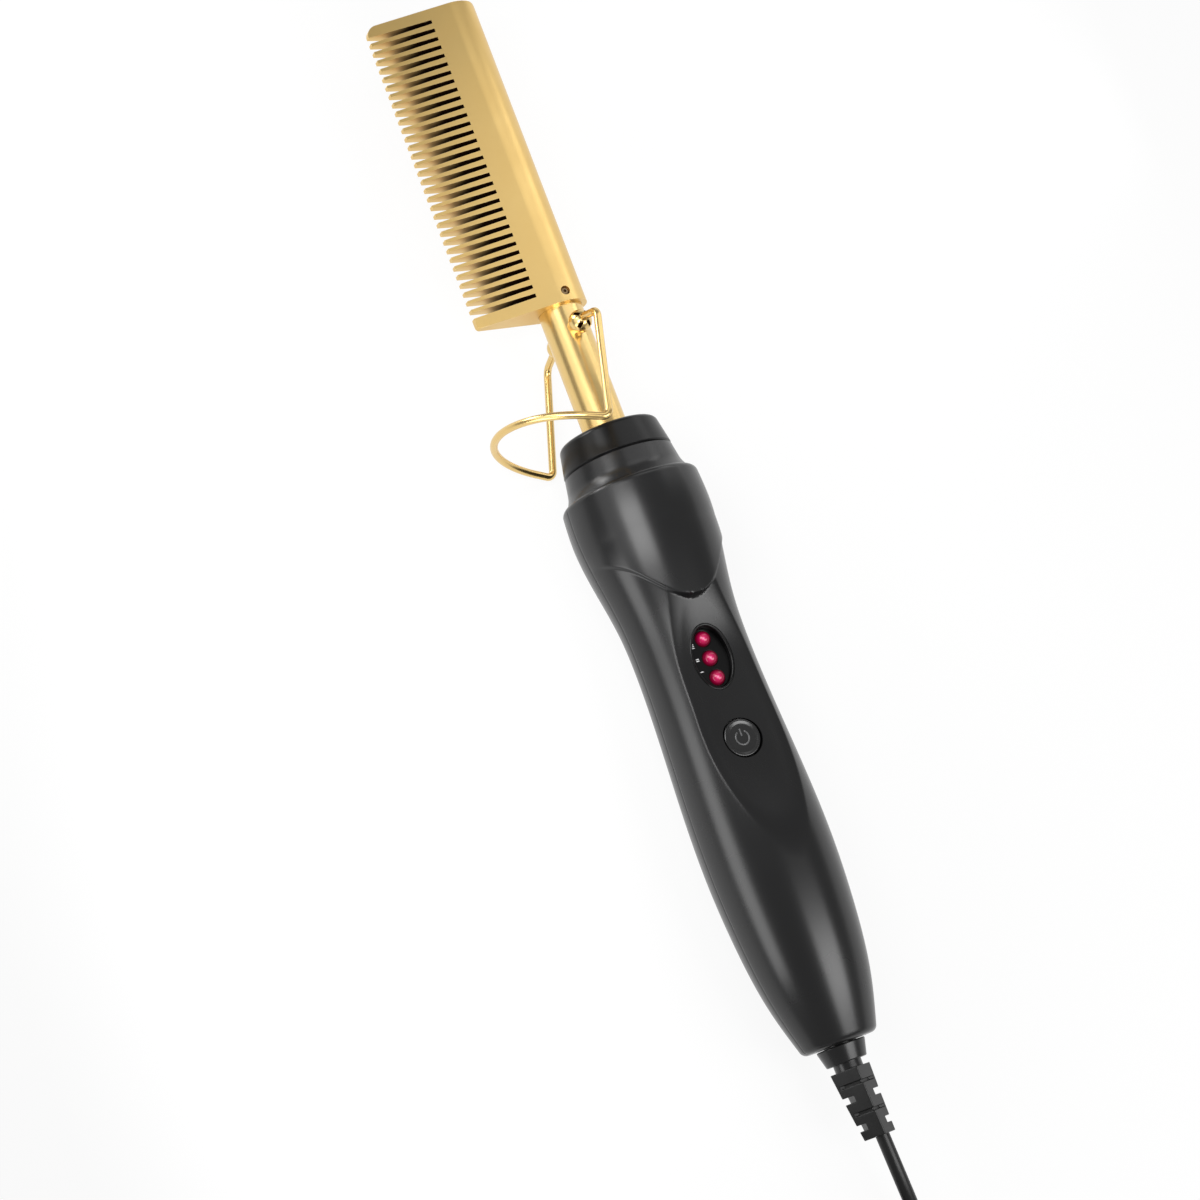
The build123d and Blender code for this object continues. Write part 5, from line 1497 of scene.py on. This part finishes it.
# ------------------------------------------------------------------ window and button
@dataclass
class Controls:
    """Indicator window with its three lamps, and the power button below it.

    Attributes give the sizes in tool millimetres; those of several numbers:
        outer_foot, inner_foot: how far in and how high the rim's points under the scoop lie.
        crest: how far in and how far above the scoop the rim's upper points lie.
        mark_shifts: places of the level marks along the tool, from those of their lamps.
        bar: half width and length of one bar of a level mark.
        cap: half section of the button, with the radius of each corner.
        symbol_bar: places of the symbol's bar, from the button's middle.
        symbol_turns: first and last angle of the symbol's arc in degrees.
    """

    handle: Handle
    window_x: float = 94.0
    half_x: float = 8.1
    half_y: float = 5.3
    rim: float = 0.7
    proud: float = 0.12
    panel_top: float = 8.7
    lamp_radius: float = 1.9
    lamp_centre: float = 8.5
    lamp_step: float = 4.87
    lamp_lean: Point = (-0.10, 0.30, 0.95)
    lamp_base: float = 2.6
    outer_foot: tuple[Pair, ...] = ((-1.0, 6.6), (-1.0, 7.6), (0.0, 7.6))
    crest: tuple[Pair, ...] = (
        (0.0, -0.3), (0.04, -0.12), (0.16, -0.02), (0.32, 0.0), (0.5, -0.03), (0.63, -0.14), (0.7, -0.36),
    )
    inner_foot: tuple[Pair, ...] = ((0.7, 7.7), (1.15, 7.7), (1.15, 6.6))
    mark_shifts: Point = (-1.1, 0.3, 2.2)
    mark_y: float = 2.85
    mark_step: float = 0.44
    bar: Pair = (0.11, 0.8)
    button_x: float = 73.6
    cap: tuple[Point, ...] = (
        (6.4, 0, 0), (6.4, 6.05, 0.1), (7.3, 6.05, 0.1), (7.3, 4.6, 0), (9.95, 4.6, 0.4),
        (9.95, 4.05, 0.3), (9.72, 3.4, 1.2), (9.68, 0, 0),
    )
    symbol_height: float = 9.72
    symbol_radius: float = 1.7
    symbol_line: float = 0.22
    symbol_bar: tuple[float, ...] = (0.45, 1.0, 1.6, 2.2)
    symbol_turns: Pair = (32.0, 328.0)

    def build(self, bench: Bench) -> None:
        """Builds the window, the lamps with their level marks and the button."""
        bench.fit(self.bezel(bench.place), Body.TOOL, GLOSS_BLACK, "indicator_bezel")
        inside = oval(self.half_x - self.rim, self.half_y - self.rim, self.window_x)
        panel = prism("lamp_panel", inside, self.panel_top - 1.0, self.panel_top, PLAIN)
        places = [self.window_x + step * self.lamp_step for step in (-1, 0, 1)]
        hole = self.lamp_radius + 0.1
        cut(panel, [prism("lamp_cut", oval(hole, hole, x, 0, 48), 2, 12, PLAIN) for x in places])
        bevelled(panel, 0.1, 2, 50.0, 1.0).data.transform(bench.place)
        bench.fit(panel, Body.TOOL, GLOSS_BLACK, "indicator_panel")
        for x, node in zip(places, ("led_low", "led_mid", "led_high")):
            self.lamp(bench, x, node)
        bench.fit(self.level_marks(bench, places), Body.TOOL, WHITE_INK)
        bench.fit(self.button(bench), Body.BUTTON, SATIN_BLACK, "power_button", sharp=45.0)

    def on_rim(self, turn: float, inset: float) -> Pair:
        """Place (x, y) on the window's oval, pressed in by inset."""
        across = (self.half_y - inset) * math.sin(turn)
        return self.window_x + (self.half_x - inset) * math.cos(turn), across

    def bezel(self, place: Matrix) -> bpy.types.Object:
        """Oval rim whose crest follows the scoop."""
        rows = []
        for turn in np.linspace(0, 2 * math.pi, 120, endpoint=False):
            line = [(*self.on_rim(turn, inset), z) for inset, z in self.outer_foot]
            for inset, drop in self.crest:
                x, y = self.on_rim(turn, inset)
                line.append((x, y, self.handle.scoop_top(x, y) + self.proud + drop))
            line += [(*self.on_rim(turn, inset), z) for inset, z in self.inner_foot]
            rows.append(line)
        return woven("window_rim", np.array(rows), place)

    def lamp(self, bench: Bench, x: float, node: str) -> None:
        """Domed lamp with the brightness of its glow kept on its points."""
        turn = np.linspace(0, math.pi / 2, 17)
        radius, centre = self.lamp_radius, self.lamp_centre
        dome = [(centre + radius * math.sin(a), radius * math.cos(a)) for a in turn]
        low = self.lamp_base
        lamp = turned(f"{node}_lens", [(low, 0), (low, radius), *dome], upright(x), 48)
        lean = np.array(self.lamp_lean) / np.linalg.norm(self.lamp_lean)
        glow = lamp.data.attributes.new("glow", "FLOAT", "POINT")
        for value, point in zip(glow.data, lamp.data.vertices):
            rise = float((np.array(point.co) - (x, 0, centre)) @ lean / radius)
            value.value = math.sqrt(max(0.0, 1 - rise**2)) if rise > 0 else 1.0
        lamp.data.transform(bench.place)
        bench.fit(lamp, Body.TOOL, LampGlow(), node)

    def level_marks(self, bench: Bench, places: Sequence[float]) -> bpy.types.Object:
        """One, two and three small bars beside the lamps."""
        marks = []
        for count, (x, shift) in enumerate(zip(places, reversed(self.mark_shifts)), 1):
            half, long = self.bar
            outline = [(-half, 0, 0.05), (half, 0, 0.05), (half, long, 0.05), (-half, long, 0.05)]
            bar = prism("bar", rounded(outline, steps=3), 0, 0.06, PLAIN)
            first = x + shift - self.mark_step / 2 * (count - 1)
            made = bench.shop.grow(
                bench.shop.row(), bar, "bars", bench.place, count=count,
                start=(first, self.mark_y, self.panel_top - 0.03), step=(self.mark_step, 0.0, 0.0),
                finish=bench.material(WHITE_INK),
            )
            marks.append(made)
        return merged("level_marks", marks)

    def button(self, bench: Bench) -> bpy.types.Object:
        """Dished button with a raised standby symbol."""
        cap = turned("cap", rounded(self.cap, steps=7), bench.place @ upright(self.button_x), 72)
        turn = np.radians(np.linspace(*self.symbol_turns, 40))
        x, radius, height = self.button_x, self.symbol_radius, self.symbol_height
        arc = [(x + radius * math.cos(a), radius * math.sin(a), height) for a in turn]
        bar = [(x + run, 0.0, height) for run in self.symbol_bar]
        # The symbol's lighter grey is painted glints on the button's black plastic.
        glint_paint = bench.material(SYMBOL_GLINT_PAINT)
        width = self.symbol_line
        lines = [bench.shop.piped("symbol", line, width, bench.place, glint_paint, 12) for line in (arc, bar)]
        bench.fit(merged("standby_symbol", lines), Body.BUTTON, SYMBOL_GLINT_PAINT)
        cap.name = "standby_button"
        return cap


# ------------------------------------------------------------------ swivel, cord and plug
@dataclass
class RearEnd:
    """Cone that turns at the handle's rear and the notched boot in it.

    Attributes:
        outline: half section of the cone and its hollow spindle, with the roundings.
        boot_start: where the boot begins.
        boot_length: length of the boot.
        droop: how far the boot's tip has bent aside.
        lean: how far the boot stands aside at its start.
    """

    outline: tuple[Point, ...] = (
        (14.0, 1.5, 0), (14.0, 4.0, 0.2), (3.8, 4.0, 0), (3.8, 3.4, 0), (2.8, 3.4, 0), (2.8, 4.0, 0),
        (-0.25, 4.0, 0), (-0.25, 6.0, 0.3), (-4.45, 4.9, 0.35), (-4.45, 3.4, 0), (-6.15, 3.4, 0),
        (-6.15, 2.2, 0), (-9.15, 2.2, 0), (-9.15, 1.5, 0),
    )
    boot_start: float = -6.15
    boot_length: float = 16.5
    droop: float = 1.25
    lean: float = 0.1

    def aside(self, x: float) -> float:
        """How far the boot's middle lies towards -Y at x."""
        run = max(0.0, self.boot_start - x) / self.boot_length
        return self.lean + (self.droop - self.lean) * run**1.2

    def build(self, bench: Bench) -> None:
        """Builds the cone and the boot."""
        cone = turned("swivel_cone_formed", rounded(self.outline), bench.place, 96)
        bench.fit(cone, Body.SWIVEL, CHARCOAL, "swivel_cone")
        boot = softened(bench.nodes["strain_relief"], "notched_boot", 0.16)
        back = bench.place.inverted()
        for point in boot.data.vertices:
            local = back @ point.co
            local.y -= self.aside(local.x)
            point.co = bench.place @ local
        bench.fit(boot, Body.SWIVEL, BLACK_RUBBER, "strain_relief", sharp=15.0)
        for node, name, width, finish in (
            ("plug_body", "moulded_plug", 0.5, BLACK_RUBBER),
            ("plug_pins", "round_pins", 0.1, NICKEL),
            ("cord_tie", "coil_strap", 0.15, SATIN_BLACK),
        ):
            bench.fit(softened(bench.nodes[node], name, width), Body.TOOL, finish, node, sharp=20.0)


@dataclass
class MainsCord:
    """Cord from the strain relief, over the table and round its coil to the plug.

    Lengths are in millimetres in the table's frame.
    """

    diameter: float = 3.4
    length: float = 1.8
    route: tuple[Point, ...] = (
        (-146.468, -6.97, 14.38),
        (-155.965, -7.3, 14.145),
        (-167.468, -8.6, 8.6),
        (-179.968, -9.2, 3.8),
    )
    coil_centre: Pair = (-192.468, 16.234)
    outer_turn: float = 24.6
    tail: float = 20.0
    tail_height: float = 6.85
    steps: int = 24
    winding: tuple[tuple[int, int], ...] = (
        (0, 0), (1, 0), (2, 0), (3, 0), (3, 1), (3, 2), (3, 3),
        (2, 3), (2, 2), (2, 1), (1, 1), (1, 2), (1, 3), (0, 2),
    )
    groups: tuple[int, ...] = (0, 0, 0, 1, 1, 1, 2, 3, 3, 4, 5, 5, 6)

    def slot(self, index: int) -> Pair:
        """Radius and height of one turn's place in the coil."""
        column, layer = self.winding[index]
        return self.outer_turn - column * self.diameter, self.diameter * (layer + 0.5)

    def line(self) -> list[Point]:
        """Control points of the whole cord."""
        points = list(self.route)
        widen = 1.0 / math.cos(math.pi / self.steps)
        turns = len(self.winding)
        sector = 360.0 / 7.5
        for index in range(turns):
            here = self.slot(index)
            there = self.slot(index + 1) if index + 1 < turns else (self.outer_turn, self.tail_height)
            group = self.groups[index] if index < len(self.groups) else 6
            start = (6 - group) * sector
            for step in range(self.steps):
                angle = 360.0 * step / self.steps
                share = min(max((angle - start) / sector, 0.0), 1.0)
                share = share * share * (3 - 2 * share)
                radius = (here[0] + (there[0] - here[0]) * share) * widen
                height = here[1] + (there[1] - here[1]) * share
                turn = math.radians(-90.0 - angle)
                x = self.coil_centre[0] + radius * math.cos(turn)
                points.append((x, self.coil_centre[1] + radius * math.sin(turn), height))
        side = self.coil_centre[1] - self.outer_turn
        for run in (0.0, self.tail * 0.4, self.tail * 0.75, self.tail):
            points.append((self.coil_centre[0] - run, side, self.tail_height))
        return points

    def build(self, bench: Bench) -> None:
        curve = bpy.data.curves.new("mains_cord", "CURVE")
        curve.dimensions = "3D"
        curve.bevel_depth = self.diameter / 2 * MM
        curve.bevel_resolution = 5
        curve.resolution_u = 3
        curve.use_fill_caps = True
        points = self.line()
        spline = curve.splines.new("NURBS")
        spline.points.add(len(points) - 1)
        for point, place in zip(spline.points, points):
            point.co = (place[0] * MM, place[1] * MM, place[2] * MM, 1.0)
        spline.order_u = 3
        spline.use_endpoint_u = True
        curve.materials.append(bench.material(BLACK_RUBBER))
        cord = new_object("mains_cord", curve)
        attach(cord, Body.TOOL.value)
        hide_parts("power_cord", "cord_coil", "cord_tail")
        LOG.info("built %s: %d points", cord.name, len(points))


# ------------------------------------------------------------------ studio
@dataclass
class SoftBox:
    """Rectangular lamp given in the tool's frame.

    Attributes:
        name: name of the lamp.
        centre: its middle, in tool millimetres.
        aim: the point that it faces, in tool millimetres.
        along: its size along the tool in millimetres.
        across: its other size in millimetres.
        radiance: its brightness, where 1 shows a white surface as white.
    """

    name: str
    centre: Point
    aim: Point
    along: float
    across: float
    radiance: float

    def build(self, tool: ToolFrame) -> None:
        """Makes the lamp and puts it in place."""
        lamp = bpy.data.lights.new(self.name, "AREA")
        lamp.shape = "RECTANGLE"
        lamp.size = self.along * MM
        lamp.size_y = self.across * MM
        lamp.energy = self.radiance * math.pi * lamp.size * lamp.size_y
        made = new_object(self.name, lamp)
        centre = tool.point(*self.centre)
        back = (centre - tool.point(*self.aim)).normalized()
        side = tool.direction(1, 0, 0)
        side = (side - back * side.dot(back)).normalized()
        turn = Matrix((side, back.cross(side), back)).transposed().to_4x4()
        made.matrix_world = Matrix.Translation(centre) @ turn
        made.visible_camera = False


@dataclass
class Studio:
    """Camera, floor and lamps.

    Attributes:
        lens: focal length in millimetres on a 36 mm wide sensor.
        eye: the camera's place in tool millimetres.
        right: the direction of the picture's right side, in the tool's axes.
        down: the direction of the picture's lower side, in the tool's axes.
        floor_glow: share of the floor's white that shadows can't darken.
        world_level: brightness of the room.
        lamps: the soft boxes.
    """

    lens: float = 87.9
    eye: Point = (-15.3, 299.8, 618.9)
    right: Point = (-0.3461, -0.8791, 0.3276)
    down: Point = (-0.9187, 0.2468, -0.3082)
    floor_glow: float = 0.88
    world_level: float = 0.34
    lamps: tuple[SoftBox, ...] = (
        SoftBox("tongue_box", (147, 81.7, 125.8), (147, 0, 0), 70, 80, 6.4),
        SoftBox("tongue_fill", (147, 130, 75), (147, 0, 0), 70, 86, 0.9),
        SoftBox("shaft_box", (223, 121, 88), (223, 0, 0), 78, 140, 0.95),
        SoftBox("cap_box", (251, 108, 104), (152, 0, 0), 30, 50, 4.0),
        SoftBox("left_strip", (55, 148, 24), (55, 0, 0), 140, 60, 3.8),
        SoftBox("rear_box", (-130, -155, 400), (-130, -155, 0), 220, 350, 5.6),
        SoftBox("neck_box", (385, 178, 22), (145, 0, 0), 120, 72, 10.0),
        SoftBox("head_box", (265, -52, 150), (265, -52, 0), 92, 150, 1.15),
        SoftBox("right_box", (262, -123, 86), (262, 0, 0), 86, 60, 1.7),
        SoftBox("shaft_side_box", (200, -123, 86), (200, 0, 0), 33, 120, 1.0),
    )

    def build(self, tool: ToolFrame) -> None:
        """Sets up the picture.

        Args:
            tool: the tool's frame.
        """
        self.camera(tool)
        self.floor()
        self.world()
        for lamp in self.lamps:
            lamp.build(tool)
        bpy.context.scene.view_settings.view_transform = "Standard"

    def camera(self, tool: ToolFrame) -> None:
        """Makes the camera."""
        made = new_object("camera", bpy.data.cameras.new("camera"))
        made.data.lens = self.lens
        made.data.sensor_width = 36.0
        made.data.clip_start = 0.01
        made.data.clip_end = 20.0
        right = tool.direction(*self.right)
        up = -tool.direction(*self.down)
        up = (up - right * up.dot(right)).normalized()
        turn = Matrix((right, up, right.cross(up))).transposed().to_4x4()
        made.matrix_world = Matrix.Translation(tool.point(*self.eye)) @ turn
        bpy.context.scene.camera = made

    def floor(self) -> None:
        """Makes the pale floor, which glows white where the camera or a mirror sees it."""
        mesh = bpy.data.meshes.new("floor")
        half = 4.0
        mesh.from_pydata(
            [(-half, -half, 0), (half, -half, 0), (half, half, 0), (-half, half, 0)], [], [(0, 1, 2, 3)]
        )
        made = new_object("floor", mesh)
        material = bpy.data.materials.new("floor_white")
        material.use_nodes = True
        tree = material.node_tree
        link = tree.links.new
        out = tree.nodes["Material Output"]
        paper = tree.nodes["Principled BSDF"]
        paper.inputs["Base Color"].default_value = (0.9, 0.9, 0.9, 1.0)
        paper.inputs["Roughness"].default_value = 0.9
        paper.inputs["Specular IOR Level"].default_value = 0.0
        glow = tree.nodes.new("ShaderNodeEmission")
        path = tree.nodes.new("ShaderNodeLightPath")
        seen, more, share = (tree.nodes.new("ShaderNodeMath") for _ in range(3))
        seen.use_clamp = more.use_clamp = True
        share.operation = "MULTIPLY"
        share.inputs[1].default_value = self.floor_glow
        mix = tree.nodes.new("ShaderNodeMixShader")
        link(path.outputs["Is Camera Ray"], seen.inputs[0])
        link(path.outputs["Is Glossy Ray"], seen.inputs[1])
        link(seen.outputs["Value"], more.inputs[0])
        link(path.outputs["Is Transmission Ray"], more.inputs[1])
        link(more.outputs["Value"], share.inputs[0])
        link(share.outputs["Value"], mix.inputs["Fac"])
        link(paper.outputs["BSDF"], mix.inputs[1])
        link(glow.outputs["Emission"], mix.inputs[2])
        link(mix.outputs["Shader"], out.inputs["Surface"])
        mesh.materials.append(material)

    def world(self) -> None:
        """Fills the room with an even light."""
        world = bpy.data.worlds.new("room")
        world.use_nodes = True
        back = world.node_tree.nodes["Background"]
        back.inputs["Color"].default_value = (1.0, 1.0, 1.0, 1.0)
        back.inputs["Strength"].default_value = self.world_level
        bpy.context.scene.world = world


def main() -> None:
    """Builds the whole scene."""
    logging.basicConfig(level=logging.INFO, format="%(message)s")
    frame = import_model()
    tool = ToolFrame.from_joints(frame["joints"])
    Studio().build(tool)
    bench = Bench(frame["nodes"], tool.matrix)
    handle = Handle()
    assemblies = (CombHead(), ShaftAndStand(), Nose(), handle, Controls(handle), RearEnd(), MainsCord())
    for assembly in assemblies:
        assembly.build(bench)
    for finish, names in INNER_FINISHES.items():
        bench.dress(finish, names)


if __name__ == "__main__":
    main()
